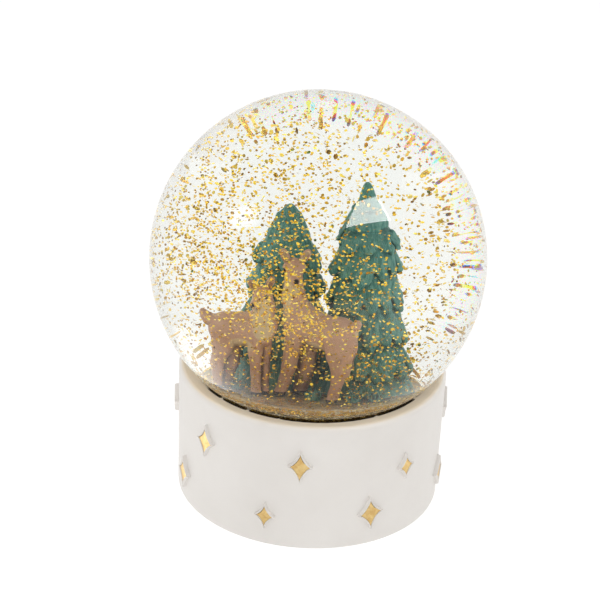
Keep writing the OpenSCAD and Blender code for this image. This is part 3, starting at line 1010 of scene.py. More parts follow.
def trunk(field, start, end, start_r, end_r):
    """Body from start to end, narrower across than it is deep."""
    narrow = 0.82
    start, end = np.asarray(start, float), np.asarray(end, float)
    along = (end - start) * np.array([1, 1, 0])
    along /= np.linalg.norm(along)
    across = np.array([-along[1], along[0], 0])

    def shape(pts):
        offset = (pts - start) @ across
        widened = pts + (offset * (1 / narrow - 1))[..., None] * across
        return tube_dist(widened, start, end, start_r, end_r) * narrow
    most = max(start_r, end_r)
    field.add(shape, np.minimum(start, end) - most, np.maximum(start, end) + most, 0.8)


def patch(verts, centre, inner, outer, size=1):
    """1 within inner of centre, fading to 0 at outer, in units of size."""
    reach = np.linalg.norm((verts - np.array(centre)) / np.array(size), axis=1)
    return 1 - ease(inner, outer, reach)


def deer_skin(field):
    """Verts drawn back towards the true surface, quads and normals."""
    verts, quads = field.mesh()
    normals = field.normal(verts)
    return verts - normals * field.sample(verts)[:, None] * 0.7, quads, normals


def finish_deer(name, node, field, skin, cream, dark_spots, shade):
    """dark_spots: (centre, radius) of the eyes and nose."""
    verts, quads, normals = skin
    crowd = field.crowding(verts, normals, 1.0)
    under = np.clip(-normals[:, 2], 0, 1) * 0.35
    dark = np.clip(1 - ease(0.75, 1.15, verts[:, 2] - GROUND), 0, 1) * 0.75
    for centre, radius in dark_spots:
        dark = np.maximum(dark, patch(verts, centre, radius * 0.9, radius * 1.15))
    verts = verts + normals * (fractal(verts / 0.9, 2, 77) * 0.05)[:, None]
    verts[:, 2] = np.maximum(verts[:, 2], FIGURE_FLOOR) + BALL_Z
    # third channel is painted shade: closed-in places, undersides and far legs
    paint_and_shade = np.stack([cream, dark, np.clip(crowd * 1.1 + under + shade, 0, 1)], -1)
    make(name, verts, [quads], DEER, "deer_brown", node, attrs={"paint_and_shade": paint_and_shade})


def deer_right():
    """The taller deer. It stands side-on, chest to the left, with its head to the front."""
    deer = Field((-10.5, -14.5, GROUND - 0.4), (12.2, 1.2, 6.2), 0.2)
    # body, neck, chest and haunch
    trunk(deer, (-2.9, -4.7, -13.2), (5.3, -9.5, -15.0), 4.25, 3.95)
    deer.tube([(-3.6, -5.0, -11.6, 3.3), (-5.0, -5.2, -7.0, 2.5)], 1.2)
    deer.tube([(-5.0, -5.2, -7.2, 2.45), (-5.3, -5.0, -2.6, 2.05)], 1.0)
    deer.tube([(-4.0, -5.6, -13.6, 2.7), (-4.4, -6.0, -15.6, 2.2)], 1.0)
    deer.ball((5.6, -9.6, -13.9), (4.3, 3.5, 4.0), 0.9)
    # head, muzzle, nose, brow, ears and eyes
    deer.ball((-5.25, -5.0, -0.15), (2.45, 2.35, 2.25), 0.8)
    deer.tube([(-5.1, -6.6, -0.9, 1.6), (-4.75, -8.5, -1.9, 1.08)], 0.7)
    deer.ball((-4.7, -9.0, -1.75), (0.75, 0.5, 0.5), 0.3)
    deer.tube([(-6.9, -5.6, 0.35, 0.9), (-3.6, -5.7, 0.45, 0.9)], 0.6)
    ear(deer, (-6.9, -4.7, 1.2), (-8.1, -4.6, 4.0), 1.05, (-0.15, -0.98, 0.05))
    ear(deer, (-3.7, -4.7, 1.4), (-2.1, -4.6, 4.1), 1.05, (0.2, -0.97, 0.05))
    for eye in ((-7.35, -6.0, -0.35), (-3.05, -6.2, -0.3)):
        deer.ball(eye, (0.42, 0.42, 0.46), 0.12)
    # fore legs
    deer.tube([(-3.9, -5.9, -14.6, 2.3), (-4.5, -6.0, -18.2, 1.95), (-5.1, -5.7, -23.2, 1.6),
               (-5.75, -5.4, -26.4, 1.35), (-6.3, -5.2, -28.6, 1.2)])
    hoof(deer, -6.5, -5.1, 1.32, toe=(-1, -0.2))
    deer.tube([(-2.0, -3.2, -14.6, 2.4), (-1.3, -2.9, -19.0, 2.3), (-1.5, -2.5, -24.2, 2.05),
               (-2.2, -2.2, -28.4, 1.6)])
    hoof(deer, -2.4, -2.2, 1.6)
    # hind legs
    deer.ball((6.0, -11.1, -17.2), (3.35, 1.9, 4.3), 0.9)
    deer.tube([(5.9, -11.2, -19.4, 2.75), (6.1, -11.4, -21.8, 1.95), (5.75, -11.4, -24.2, 1.42),
               (4.95, -11.3, -28.5, 1.25)], 0.8)
    deer.tube([(7.5, -11.2, -20.8, 1.15), (7.3, -11.3, -22.9, 0.95)], 0.9)
    hoof(deer, 4.7, -11.3, 1.28, toe=(-0.7, -0.5))
    deer.ball((6.7, -7.7, -17.2), (3.1, 1.8, 4.2), 0.9)
    deer.tube([(6.6, -7.6, -19.4, 2.5), (7.0, -7.5, -21.8, 1.8), (6.0, -7.5, -24.4, 1.3),
               (4.7, -7.4, -28.5, 1.1)], 0.8)
    hoof(deer, 4.6, -7.4)
    # raised tail
    deer.tube([(8.3, -10.9, -13.2, 1.45), (9.7, -11.5, -10.6, 1.0)], 0.7)

    verts, quads, normals = deer_skin(deer)
    x, y, z = verts.T
    throat = tube_dist(verts, (-6.1, -6.6, -3.0), (-6.9, -6.6, -11.5), 0.3, 0.3)
    throat = 0.8 * (1 - ease(1.1, 2.3, np.abs(throat) + 0.4))
    throat = np.maximum(throat, 0.8 * patch(verts, (-5.2, -7.2, -4.4), 1.2, 2.2))
    throat = throat * ease(-0.1, 0.4, -normals[:, 1] - 0.3 * normals[:, 0])
    belly = patch(verts, (1.0, -8.6, -17.6), 0.9, 1.8, size=(2.2, 2.0, 1.3)) * 0.9
    muzzle = patch(verts, (-4.8, -8.2, -2.6), 0.75, 1.1) * 0.8
    tail = patch(verts, (9.9, -11.9, -12.6), 0.6, 1.1) * 0.7
    ears = 0
    for base, tip in (((-6.9, -5.4, 1.4), (-7.9, -5.3, 3.6)), ((-3.7, -5.4, 1.6), (-2.3, -5.3, 3.7))):
        inner = 1 - ease(0.35, 0.75, tube_dist(verts, base, tip, 0.2, 0.1))
        ears = np.maximum(ears, inner * ease(0.2, 0.6, -normals[:, 1]) * 0.75)
    cream = np.clip(np.maximum.reduce([throat, belly, muzzle, ears, tail]), 0, 1)
    # the far legs lie in shade
    shade = 0.85 * ease(-4.4, -3.5, y) * ease(-17.5, -19.5, z) * (x < 3)
    shade = shade + 0.6 * ease(-9.6, -8.6, y) * ease(-18.5, -20, z) * (x > 3)
    dark_spots = [((-7.5, -6.15, -0.35), 0.55), ((-2.9, -6.35, -0.3), 0.55),
                  ((-4.7, -9.3, -1.7), 0.62)]
    finish_deer("painted_deer_right", "deer_right", deer, (verts, quads, normals), cream,
                dark_spots, shade)
    return deer


def deer_left():
    """The smaller deer. It stands side-on, chest to the right."""
    deer = Field((-26.6, -10.8, GROUND - 0.4), (-6.6, 3.2, -0.6), 0.2)
    # body, neck and chest
    trunk(deer, (-12.9, -5.6, -15.2), (-19.4, -3.2, -16.3), 3.95, 3.75)
    deer.tube([(-11.6, -6.0, -13.2, 3.0), (-11.4, -5.9, -9.6, 2.25)], 1.1)
    deer.tube([(-11.4, -5.9, -9.8, 2.2), (-11.8, -5.6, -7.2, 2.0)], 0.9)
    deer.tube([(-10.9, -6.9, -14.0, 2.6), (-11.3, -7.2, -16.4, 2.0)], 0.9)
    # head, muzzle, nose, ears and eyes
    deer.ball((-12.1, -5.6, -6.7), (2.2, 2.1, 1.95), 0.8)
    deer.tube([(-12.9, -6.8, -7.3, 1.4), (-14.0, -8.3, -8.4, 0.95)], 0.7)
    deer.ball((-14.2, -8.7, -8.4), (0.62, 0.48, 0.46), 0.3)
    ear(deer, (-13.5, -5.0, -5.7), (-15.2, -4.8, -4.1), 0.95, (-0.35, -0.9, -0.25))
    ear(deer, (-10.9, -5.0, -5.3), (-9.9, -4.9, -3.0), 0.95, (0.1, -0.98, 0.0))
    for eye in ((-14.0, -6.5, -6.7), (-11.3, -7.5, -6.6)):
        deer.ball(eye, (0.4, 0.4, 0.44), 0.12)
    # fore legs
    deer.tube([(-13.0, -6.9, -16.6, 2.0), (-12.8, -7.3, -20.0, 1.55), (-12.4, -7.5, -24.6, 1.1),
               (-12.1, -7.6, -28.6, 1.05)])
    hoof(deer, -12.1, -7.7, 1.2)
    deer.tube([(-10.9, -5.0, -16.6, 1.9), (-10.6, -4.9, -20.0, 1.5), (-10.3, -5.0, -24.6, 1.1),
               (-10.1, -5.1, -28.6, 1.05)])
    hoof(deer, -10.1, -5.2, 1.2)
    # hind legs
    deer.ball((-19.9, -4.9, -18.4), (2.7, 1.7, 3.8), 0.8)
    deer.tube([(-19.9, -5.0, -20.6, 2.1), (-20.8, -5.0, -23.6, 1.45),
               (-20.4, -4.9, -28.6, 1.02)], 0.7)
    hoof(deer, -20.4, -5.0, 1.15)
    deer.ball((-17.8, -1.8, -18.2), (3.0, 1.7, 3.7), 0.8)
    deer.tube([(-17.6, -1.7, -20.6, 2.4), (-17.5, -1.6, -24.0, 2.0),
               (-17.9, -1.6, -28.4, 1.5)], 0.7)
    hoof(deer, -18.0, -1.7, 1.5)
    # tail
    deer.tube([(-22.6, -2.2, -14.6, 1.15), (-24.5, -1.7, -13.3, 0.8)], 0.7)
    deer.tube([(-23.4, -2.0, -15.2, 0.9), (-24.3, -1.7, -14.3, 0.7)], 0.5)

    verts, quads, normals = deer_skin(deer)
    x, y, z = verts.T
    throat = tube_dist(verts, (-12.4, -7.6, -9.0), (-11.3, -9.0, -14.2), 0.4, 0.9)
    throat = 0.75 * (1 - ease(1.2, 2.6, np.abs(throat) + 0.2))
    throat = throat * ease(-0.1, 0.4, -normals[:, 1] + 0.1 * normals[:, 0])
    belly = patch(verts, (-15.6, -6.6, -18.6), 1.0, 2.0, size=(2.2, 2.0, 1.2)) * 0.8
    muzzle = patch(verts, (-14.3, -7.4, -7.9), 0.8, 1.5) * 0.7
    cream = np.clip(np.maximum.reduce([throat, belly, muzzle]), 0, 1)
    # the far legs lie in shade
    shade = 0.8 * ease(-6.3, -5.6, y) * ease(-18.5, -20.5, z) * (x > -14)
    shade = shade + 0.85 * ease(-3.6, -2.8, y) * ease(-18.0, -19.5, z) * (x < -14)
    dark_spots = [((-14.2, -6.6, -6.7), 0.5), ((-11.25, -7.7, -6.6), 0.5),
                  ((-14.35, -9.0, -8.4), 0.56)]
    finish_deer("painted_deer_left", "deer_left", deer, (verts, quads, normals), cream,
                dark_spots, shade)
    return deer


# ---------------------------------------------------------------- foliage tufts
# x, y, radius, height
TUFTS = [(0.4, -8.4, 2.2, 2.4), (9.4, -9.6, 2.3, 2.8), (14.2, -8.8, 2.4, 2.6),
         (-15.6, -1.8, 1.9, 2.2), (-1.6, 16.6, 2.6, 2.4)]


def tufts():
    """Low sprays: leaning blades round a mound, fused into one skin each."""
    parts, paints_and_shades = [], []
    for k, (x, y, radius, height) in enumerate(TUFTS):
        rng = np.random.default_rng(300 + k)
        tuft = Field((x - radius - 0.9, y - radius - 0.9, GROUND - 0.4),
                     (x + radius + 0.9, y + radius + 0.9, GROUND + height + 0.8), 0.15)
        tuft.ball((x, y, GROUND + 0.1), (radius * 0.74, radius * 0.74, height * 0.62), 0.3)
        for _ in range(46):
            ang = rng.uniform(0, TURN)
            out = radius * 0.62 * math.sqrt(rng.uniform())
            lean = 0.35 + 0.55 * out / radius
            foot = np.array([x + out * math.cos(ang), y + out * math.sin(ang), GROUND + 0.1])
            length = height * rng.uniform(0.55, 1.0) * (1.05 - 0.4 * out / radius)
            lean_x = math.cos(ang + rng.uniform(-.4, .4)) * lean * length * 0.75
            lean_y = math.sin(ang + rng.uniform(-.4, .4)) * lean * length * 0.75
            tip = foot + np.array([lean_x, lean_y, length])
            reach = np.hypot(*(tip[:2] - [x, y]))
            if reach > radius * 0.98:
                tip[:2] = np.array([x, y]) + (tip[:2] - [x, y]) * radius * 0.98 / reach
            tuft.tube([(*foot, 0.36), (*tip, 0.13)], 0.12)
        verts, quads = tuft.mesh()
        verts[:, 2] = np.maximum(verts[:, 2], FIGURE_FLOOR)
        crowd = tuft.crowding(verts, tuft.normal(verts), 0.7)
        # paler towards the tips; painted shade low down and where the blades crowd
        level = np.clip((verts[:, 2] - GROUND) / height, 0, 1)
        ridge = np.clip(0.35 + 0.65 * level, 0, 1)
        painted_fold_shade = np.clip(crowd * 0.9 + 0.4 * (1 - level), 0, 1)
        paints_and_shades.append(np.stack([ridge, painted_fold_shade, 0 * crowd], -1))
        verts[:, 2] += BALL_Z
        parts.append((verts, quads))
    make("foliage_tufts", *join(parts), FIR, "fir_green", "ground_tufts",
         attrs={"paint_and_shade": np.concatenate(paints_and_shades)})


# ---------------------------------------------------------------- firs
# top: (z, radius) down the bare tip. tiers, top to bottom: z and radius where a skirt comes out,
# radius and z of its hem.
TALL = dict(x=10.4, y=3.2,
            top=[(18.35, 0.0), (18.1, 0.62), (17.2, 1.15), (15.6, 1.6), (13.6, 2.15),
                 (11.6, 3.0), (9.8, 4.0), (8.4, 4.6)],
            tiers=[(11.0, 3.3, 5.1, 6.9), (7.3, 4.1, 7.2, 2.4), (3.4, 5.4, 7.8, -4.4),
                   (-3.4, 5.9, 8.5, -11.9), (-11.0, 6.6, 9.0, -19.2), (-18.4, 7.0, 9.4, -26.0),
                   (-25.0, 7.8, 10.0, -31.0)])
SHORT = dict(x=-6.6, y=5.8,
             top=[(10.3, 0.0), (10.0, 0.7), (9.2, 1.35), (8.0, 2.1), (6.6, 2.9), (5.2, 3.5),
                  (3.4, 4.2)],
             tiers=[(6.6, 2.9, 5.0, 1.5), (2.6, 4.2, 7.3, -4.2), (-3.2, 5.4, 8.5, -11.0),
                    (-10.2, 6.2, 8.7, -17.6), (-16.8, 6.6, 8.8, -24.2), (-23.4, 7.2, 9.0, -31.0)])


def fir(name, node, seed, slim, x, y, top, tiers):
    """A fir of draped skirts with scalloped hems. slim takes width off its front."""
    rng = np.random.default_rng(seed)
    tip_z = top[0][0]
    heights, radii = np.array(top)[::-1].T
    reach = max(tier[2] for tier in tiers) + 1.4
    low, high = (x - reach, y - reach, GROUND - 0.4), (x + reach, y + reach, tip_z + 0.8)
    tree = Field(low, high, 0.23)

    def polar(pts):
        ang = np.arctan2(pts[..., 1] - y, pts[..., 0] - x)
        rad = np.hypot(pts[..., 0] - x, pts[..., 1] - y)
        front = np.clip(np.cos(ang + math.pi / 2), 0, 1) ** 2
        return ang, rad + slim * front * ease(-2.0, -8.0, pts[..., 2])

    def tip(pts):
        ang, rad = polar(pts)
        z = pts[..., 2]
        sway = 0.12 * np.sin(3 * ang + seed) * ease(0, 4, tip_z - z)
        dist = (rad - sway - np.interp(z, heights, radii)) * 0.85
        dist = np.maximum(dist, top[-1][0] - 0.6 - z)
        return np.where(z > tip_z, np.hypot(rad, z - tip_z), dist)

    tree.add(tip, low, high, 0.15, pad=0)
    for k, (start_z, start_r, hem_r, hem_z) in enumerate(tiers):
        lobes = max(5, int(round(2 * math.pi * hem_r / 4.7)))
        phase = rng.uniform(0, TURN, 7)
        soft = 0.5 if k == 0 else 1.0
        last = k == len(tiers) - 1

        def skirt(pts):
            ang, rad = polar(pts)
            z = pts[..., 2]
            turn = (lobes * ang + phase[0] + 1.1 * np.sin(2 * ang + phase[1])
                    + 0.8 * np.sin(3 * ang + phase[2]))
            lobe = np.sqrt(np.cos(turn / 2) ** 2 + 0.02)
            vary = (1 + 0.4 * np.sin(2 * ang + phase[3]) + 0.3 * np.sin(5 * ang + phase[4])) * soft
            hem = hem_z + (2.3 * (1 - lobe) * vary + 0.55 * np.sin(ang + phase[5]) * soft
                           + 0.4 * np.sin(3 * ang + phase[6]) * soft) * (not last)
            t = np.clip((start_z - z) / (start_z - hem_z), 0, 1.15)
            edge = (start_r + (hem_r - start_r) * t ** 0.9
                    + 0.75 * (lobe - 0.66) * vary * ease(0.05, 0.85, t))
            edge = (edge + 0.16 * np.sin(3 * ang + phase[3] + z * 0.5)
                    + 0.12 * np.sin(9 * ang + phase[2]) * t)
            dist = -soft_min(-(rad - edge) * 0.9, -(hem - z), 1.25)
            return np.maximum(dist, z - start_z - 0.9)

        tree.add(skirt, (x - reach, y - reach, hem_z - 0.6),
                 (x + reach, y + reach, start_z + 1.0), 0.22, pad=0.6)
        if last:
            continue
        # loose tufts that hang from the hem here and there
        for _ in range(int(lobes * 0.55)):
            ang = rng.uniform(0, TURN)
            front = max(0.0, math.cos(ang + math.pi / 2)) ** 2
            rad = hem_r - 0.75 - slim * front * float(ease(-2.0, -8.0, np.array(hem_z)))
            size = rng.uniform(0.75, 1.15) * soft
            # back from the hem, turn, z and radius of each station
            hang = ((1.0, 0, hem_z + 3.0, 0.9), (0.1, 0.04, hem_z + 0.9, 0.95),
                    (0, 0.07, max(hem_z - 0.35, GROUND + 0.4), 0.5))
            tree.tube([(x + (rad - back) * math.cos(ang + turn),
                        y + (rad - back) * math.sin(ang + turn), z, thick * size)
                       for back, turn, z, thick in hang], 0.7)

    verts, quads = tree.mesh()
    normals = tree.normal(verts, 0.3)
    verts = verts - normals * tree.sample(verts)[:, None] * 0.6
    # brush-like grooves that run down the skirts
    ang = np.arctan2(verts[:, 1] - y, verts[:, 0] - x)
    rad = np.hypot(verts[:, 0] - x, verts[:, 1] - y)
    z = verts[:, 2]
    twist = ang + 0.10 * np.sin(z * 0.5 + 2 * ang) + 0.05 * np.sin(z * 1.3 + 5 * ang)
    broad = np.stack([np.cos(twist) * 8.5, np.sin(twist) * 8.5, z / 5.0 + rad * 0.12], -1)
    fine = np.stack([np.cos(twist) * 17.0, np.sin(twist) * 17.0, z / 4.0 + rad * 0.2], -1)
    stroke = (0.55 * (1 - 2.4 * np.abs(value_noise(broad, seed + 11)))
              + 0.45 * (1 - 2.4 * np.abs(value_noise(fine, seed + 23))))
    fade = ease(0.25, 0.8, 1 - np.abs(normals[:, 2]) * 0.85) * ease(1.2, 3.0, rad)
    crowd = tree.crowding(verts, normals, 1.3)
    wide = tree.crowding(verts, normals, 3.0)
    relief = stroke * 0.13 * fade + fractal(verts / 1.9, 2, seed + 5) * 0.12
    verts = verts + normals * relief[:, None]
    verts[:, 2] = np.maximum(verts[:, 2], FIGURE_FLOOR) + BALL_Z
    under = np.clip(-normals[:, 2], 0, 1)
    ridge = np.clip(0.5 + 0.5 * stroke * fade - 0.45 * crowd, 0, 1)
    # painted shade: darker where the surface is closed in, faces down or lies in a groove
    painted_fold_shade = np.clip(0.78 * crowd + 0.32 * wide + 0.6 * under
                   + 0.28 * np.clip(-stroke, 0, 1) * fade - 0.14, 0, 1)
    make(name, verts, [quads], FIR, "fir_green", node,
         attrs={"paint_and_shade": np.stack([ridge, painted_fold_shade, 0 * painted_fold_shade], -1)})


def fir_radius(tree, z):
    """Rough radius of a fir at heights z, for keeping flakes out of it."""
    heights = [tree["top"][0][0]] + [tier[3] for tier in tree["tiers"]]
    radii = [0.6] + [tier[2] for tier in tree["tiers"]]
    return np.interp(z, heights[::-1], radii[::-1], left=radii[-1], right=0)


# ---------------------------------------------------------------- ground and settled glitter
def ground():
    n = 240
    rim, bottom, top = PLINTH_R, STOPPER_TOP + 0.02, GROUND_Z - 0.08
    prof = [(0.01, bottom)] + line((2, bottom), (rim - 0.3, bottom), 8)
    prof += arc(rim - 0.3, STOPPER_TOP + 0.32, 0.3, -90, 0, 4)
    prof += line((rim, STOPPER_TOP + 0.6), (rim, GROUND_Z - 1.2), 8)
    prof += arc(rim - 0.9, GROUND_Z - 1.0, 0.9, 0, 90, 8)
    prof += line((rim - 1.3, top), (0.6, top), 54) + [(0.3, top)]
    verts = lathe(prof, n)
    rad = axis_dist(verts)
    lump = fractal(np.stack([verts[:, 0] / 2.6, verts[:, 1] / 2.6, 0 * rad], -1), 3, 61)
    verts[:, 2] += ease(GROUND_Z - 1.0, GROUND_Z - 0.3, verts[:, 2]) * (lump * 0.22 - 0.16)
    side = ease(rim - 0.6, rim, rad) * ease(STOPPER_TOP + 0.5, STOPPER_TOP + 1.5, verts[:, 2])
    verts[:, :2] *= (1 - side * (0.25 + 0.3 * fractal(verts / 2.2, 2, 66)) / rim)[:, None]
    verts, faces = solid(verts, n, bottom, GROUND_Z - 0.25)
    make("cast_ground", verts, faces, GROUND_PAINT, "ground_paint", "scene_plinth")


def bed_fill(y):
    """How full the channel is: the glitter lies deeper at the front."""
    return 1 - 0.48 * ease(3, 15, y)


def bed():
    """Sunken glitter: a ring between the ground and the glass."""
    n, top_rows = 360, 42
    inner, glass_r, neck_r = PLINTH_R + 0.06, INNER_R - 0.08, NECK_INNER_R - 0.08
    neck_z = BALL_Z - math.sqrt(glass_r * glass_r - neck_r ** 2)
    wall_top = SETTLED_Z - 0.35

    def glass_at(z):
        return np.sqrt(glass_r * glass_r - (z - BALL_Z) ** 2)

    prof = line((inner, STOPPER_TOP + 0.05), (NECK_INNER_R - 0.1, STOPPER_TOP + 0.05), 5)
    prof += line((neck_r, STOPPER_TOP + 0.1), (neck_r, neck_z), 4)
    prof += [(glass_at(z), z) for z in np.linspace(neck_z + 0.1, wall_top, 22)]
    outer = glass_at(wall_top)
    first = len(prof)
    prof += [(outer + (inner - outer) * t, SETTLED_Z - 0.3) for t in np.linspace(0.02, 1.0, top_rows)]
    prof += line((inner, SETTLED_Z - 0.6), (inner, STOPPER_TOP + 0.3), 6)
    verts = lathe(prof, n)
    row = np.repeat(np.arange(len(prof)), n)
    # heaps on top
    heaped = (row >= first) & (row < first + top_rows - 1)
    t = (row - first) / (top_rows - 1)
    flat = np.stack([verts[:, 0], verts[:, 1], 0 * row], -1)
    heap = 0.22 * fractal(flat / 3.2, 2, 91) + 0.10 * fractal(flat / 0.8, 2, 95)
    verts[:, 2] += heaped * (heap * ease(0, 0.12, t) * ease(0, 0.1, 1 - t) - 0.12)
    # lower the bed towards the back and keep it against the glass
    x, y, z = verts.T
    full = bed_fill(y)
    rad = axis_dist(verts)
    level = np.where(z > neck_z, neck_z + (z - neck_z) * full, z)
    wall = (row < first) & (z > neck_z + 0.05)
    edge = glass_at(neck_z + (wall_top - neck_z) * full)
    over = (row >= first) & (row < first + top_rows)
    spread = inner + (rad - inner) * (edge - inner) / (outer - inner)
    fitted = np.where(wall, glass_at(level), np.where(over, spread, rad))
    verts = np.stack([x * fitted / rad, y * fitted / rad, level], -1)
    make("sunken_glitter_bed", verts, [ring_quads(len(prof), n, wrap_rows=True)], BED,
         "gold_glitter", "settled_glitter")


# ---------------------------------------------------------------- loose flakes
FLAKE_HALF_T = 0.018
# Spots by the hooves kept clear of flakes: x, y.
HOOF_SPOTS = [(-6.5, -5.1), (-2.95, -2.1), (4.7, -11.3), (5.6, -7.4),
              (-12.1, -7.7), (-10.1, -5.2), (-20.4, -5), (-18.0, -1.7)]


def flake_mesh(name, centres, normals, spin, width, seed, body="globe", replaces=None):
    """Thin six-sided flakes. centres are measured from the drum's foot."""
    rng = np.random.default_rng(seed)
    count = len(centres)
    normals = normals / np.linalg.norm(normals, axis=1)[:, None]
    hint = np.where(np.abs(normals[:, 2:3]) < 0.9, np.array([[0, 0, 1.0]]),
                    np.array([[1.0, 0, 0]]))
    across = np.cross(hint, normals)
    across /= np.linalg.norm(across, axis=1)[:, None]
    along = np.cross(normals, across)
    ang = spin[:, None] + np.arange(6) * math.pi / 3
    rad = (width / 2)[:, None]
    ring = (centres[:, None] + (rad * np.cos(ang))[..., None] * across[:, None]
            + (rad * np.sin(ang))[..., None] * along[:, None])
    lift = normals[:, None] * FLAKE_HALF_T
    verts = np.concatenate([ring - lift, ring + lift], 1).reshape(-1, 3)
    base = np.arange(count)[:, None] * 12
    j = np.arange(6)
    after = (j + 1) % 6
    sides = np.stack([base + j, base + after, base + 6 + after, base + 6 + j], -1)
    faces = [np.concatenate([base + j[::-1], base + 6 + j]), sides.reshape(-1, 4)]
    tint = np.repeat(rng.uniform(0, 1, count), 12)
    make(name, verts, faces, FLAKE, "gold_glitter", replaces, body, smooth=False,
         attrs={"tint": tint})


def density(pts):
    """Relative crowding of flakes: thicker low, to the left and in front of the figures."""
    x, y, z = pts.T
    left = 1 / (1 + np.exp((x - 4) / 11.0))
    low = 1 / (1 + np.exp((z - 2) / 13.0))
    front = 1 / (1 + np.exp((y + 4) / 12.0))
    right_top = np.exp(-(((x - 26) / 20) ** 2 + ((z - 26) / 18) ** 2))
    clump = 3.0 * np.exp(-(((x + 5) / 9) ** 2 + ((y + 24) / 10) ** 2 + ((z + 3) / 8) ** 2))
    patchy = 0.5 + 0.5 * value_noise(pts / 9.0, 4)
    back_right = ease(5, 25, y) * ease(0, 20, x) * 0.5
    back_left = ease(5, 25, y) * ease(5, -15, x) * 0.15
    low_right = 1.3 * ease(-6, -16, z) * ease(2, 14, x) * ease(6, -6, y)
    spread = ((0.22 + 0.8 * left + 0.3 * low) * (0.32 + 1.35 * front) * (0.62 + 0.6 * patchy)
              * (1 - 0.6 * right_top * (y < 10)) * (1 - back_left))
    return np.clip(spread + clump + back_right * 0.75 + low_right, 0.02, 3.2)


def scatter(count, seed, inside, low, high):
    """count points of that density in the box from low to high, where inside(points) holds."""
    rng = np.random.default_rng(seed)
    kept, have = [], 0
    while have < count:
        pts = rng.uniform(low, high, (count * 6, 3))
        pts = pts[inside(pts)]
        pts = pts[rng.uniform(0, 3.2, len(pts)) < density(pts)]
        kept.append(pts)
        have += len(pts)
    return np.concatenate(kept)[:count]


def far_wall(count, seed, low_z, high_z):
    """Flakes close to the far wall, 25 to 28 degrees off the line of sight."""
    rng = np.random.default_rng(seed)
    sight = np.array([0, math.cos(ELEVATION), -math.sin(ELEVATION)])
    up = np.array([0, math.sin(ELEVATION), math.cos(ELEVATION)])
    right = np.array([1.0, 0, 0])
    kept = []
    while len(kept) < count:
        pick = rng.uniform()
        sector = (-42, 30) if pick < 0.42 else (30, 125) if pick < 0.92 else (-110, -42)
        turn = math.radians(rng.uniform(*sector))
        off = math.radians(rng.uniform(25.4, 28.3))
        way = (math.cos(off) * sight
               + math.sin(off) * (math.cos(turn) * up + math.sin(turn) * right))
        pt = way * (INNER_R - rng.uniform(0.85, 1.9))
        if low_z < pt[2] < high_z and (pt ** 2).sum() < (INNER_R - 0.8) ** 2:
            kept.append(pt)
    return np.array(kept)


def loose(name, body, count, seed, inside, low, high, replaces=None, extra=None):
    """Floating flakes. Returns their places about the ball's centre."""
    pts = scatter(count, seed, inside, low, high)
    if extra is not None:
        pts = np.concatenate([pts, extra])
        count = len(pts)
    rng = np.random.default_rng(seed + 1)
    # most lie nearly flat, the rest tumble
    normals = np.where(rng.uniform(size=(count, 1)) < 0.66,
                       rng.normal(0, 0.3, (count, 3)) + [0, 0, 1], rng.normal(size=(count, 3)))
    width = np.clip(rng.normal(0.71, 0.09, count), 0.52, 0.95)
    flake_mesh(name, pts + np.array([0, 0, BALL_Z]), normals, rng.uniform(0, math.pi, count),
               width, seed + 2, body, replaces)
    return pts


def clear_of(pts, others, gap):
    """Which points are further than gap from all of the others."""
    squared = (pts ** 2).sum(1)[:, None] + (others ** 2).sum(1)[None] - 2 * pts @ others.T
    return (squared > gap * gap).all(1)


def floating_flakes(deer):
    core_r, layer_top, low_z = 27.6, 20.4, SETTLED_Z - BALL_Z + 1.4
    fill = fill_level() - BALL_Z

    def in_ball(pts):
        return (pts ** 2).sum(1) < (INNER_R - 0.8) * (INNER_R - 0.8)

    def in_top(pts):
        return in_ball(pts) & (pts[:, 2] < fill - 0.8)

    def in_shell(pts):
        return in_ball(pts) & (axis_dist(pts) > core_r)

    def among_figures(pts):
        z = pts[:, 2]
        free = in_ball(pts) & (axis_dist(pts) < core_r - 0.8)
        for tree in (TALL, SHORT):
            away = np.hypot(pts[:, 0] - tree["x"], pts[:, 1] - tree["y"])
            free &= away > fir_radius(tree, z) + 0.9
        for field in deer:
            high = field.low + field.step * (field.size - 2)
            near = ((pts > field.low + 0.3) & (pts < high)).all(1)
            dist = np.full(len(pts), 9.0)
            if near.any():
                dist[near] = field.sample(pts[near])
            free &= dist > 0.55
        for x, y, radius, height in TUFTS:
            away = np.hypot(pts[:, 0] - x, pts[:, 1] - y)
            free &= (away > radius + 0.6) | (z > GROUND + height + 0.6)
        return free

    loose("flakes_upper", "swirl_upper", 1720, 11, in_top, (-44, -44, 21.0), (44, 44, 46.2),
          "glitter_upper")
    middle = loose("flakes_middle", "swirl_middle", 3250, 21, in_shell, (-48, -48, -4.0),
                   (48, 48, layer_top), "glitter_middle", far_wall(26, 25, -3.9, 20.0))
    lower = loose("flakes_lower", "swirl_lower", 2250, 31, in_shell, (-48, -48, low_z),
                  (48, 48, -4.6), "glitter_lower", far_wall(46, 35, low_z, -4.7))

    def sinking(pts):
        rad = axis_dist(pts)
        return ((rad > core_r) & (rad < 34.6) & clear_of(pts - [0, 0, 22.0], lower, 1.05)
                & clear_of(pts, middle, 0.9))

    loose("flakes_sinking", "sinking_flakes", 520, 41, sinking, (-36, -36, -7.5),
          (36, 36, 17.5), "glitter_falling")
    loose("flakes_among_figures", "globe", 1650, 51, among_figures,
          (-27, -27, GROUND + 0.6), (27, 27, layer_top))


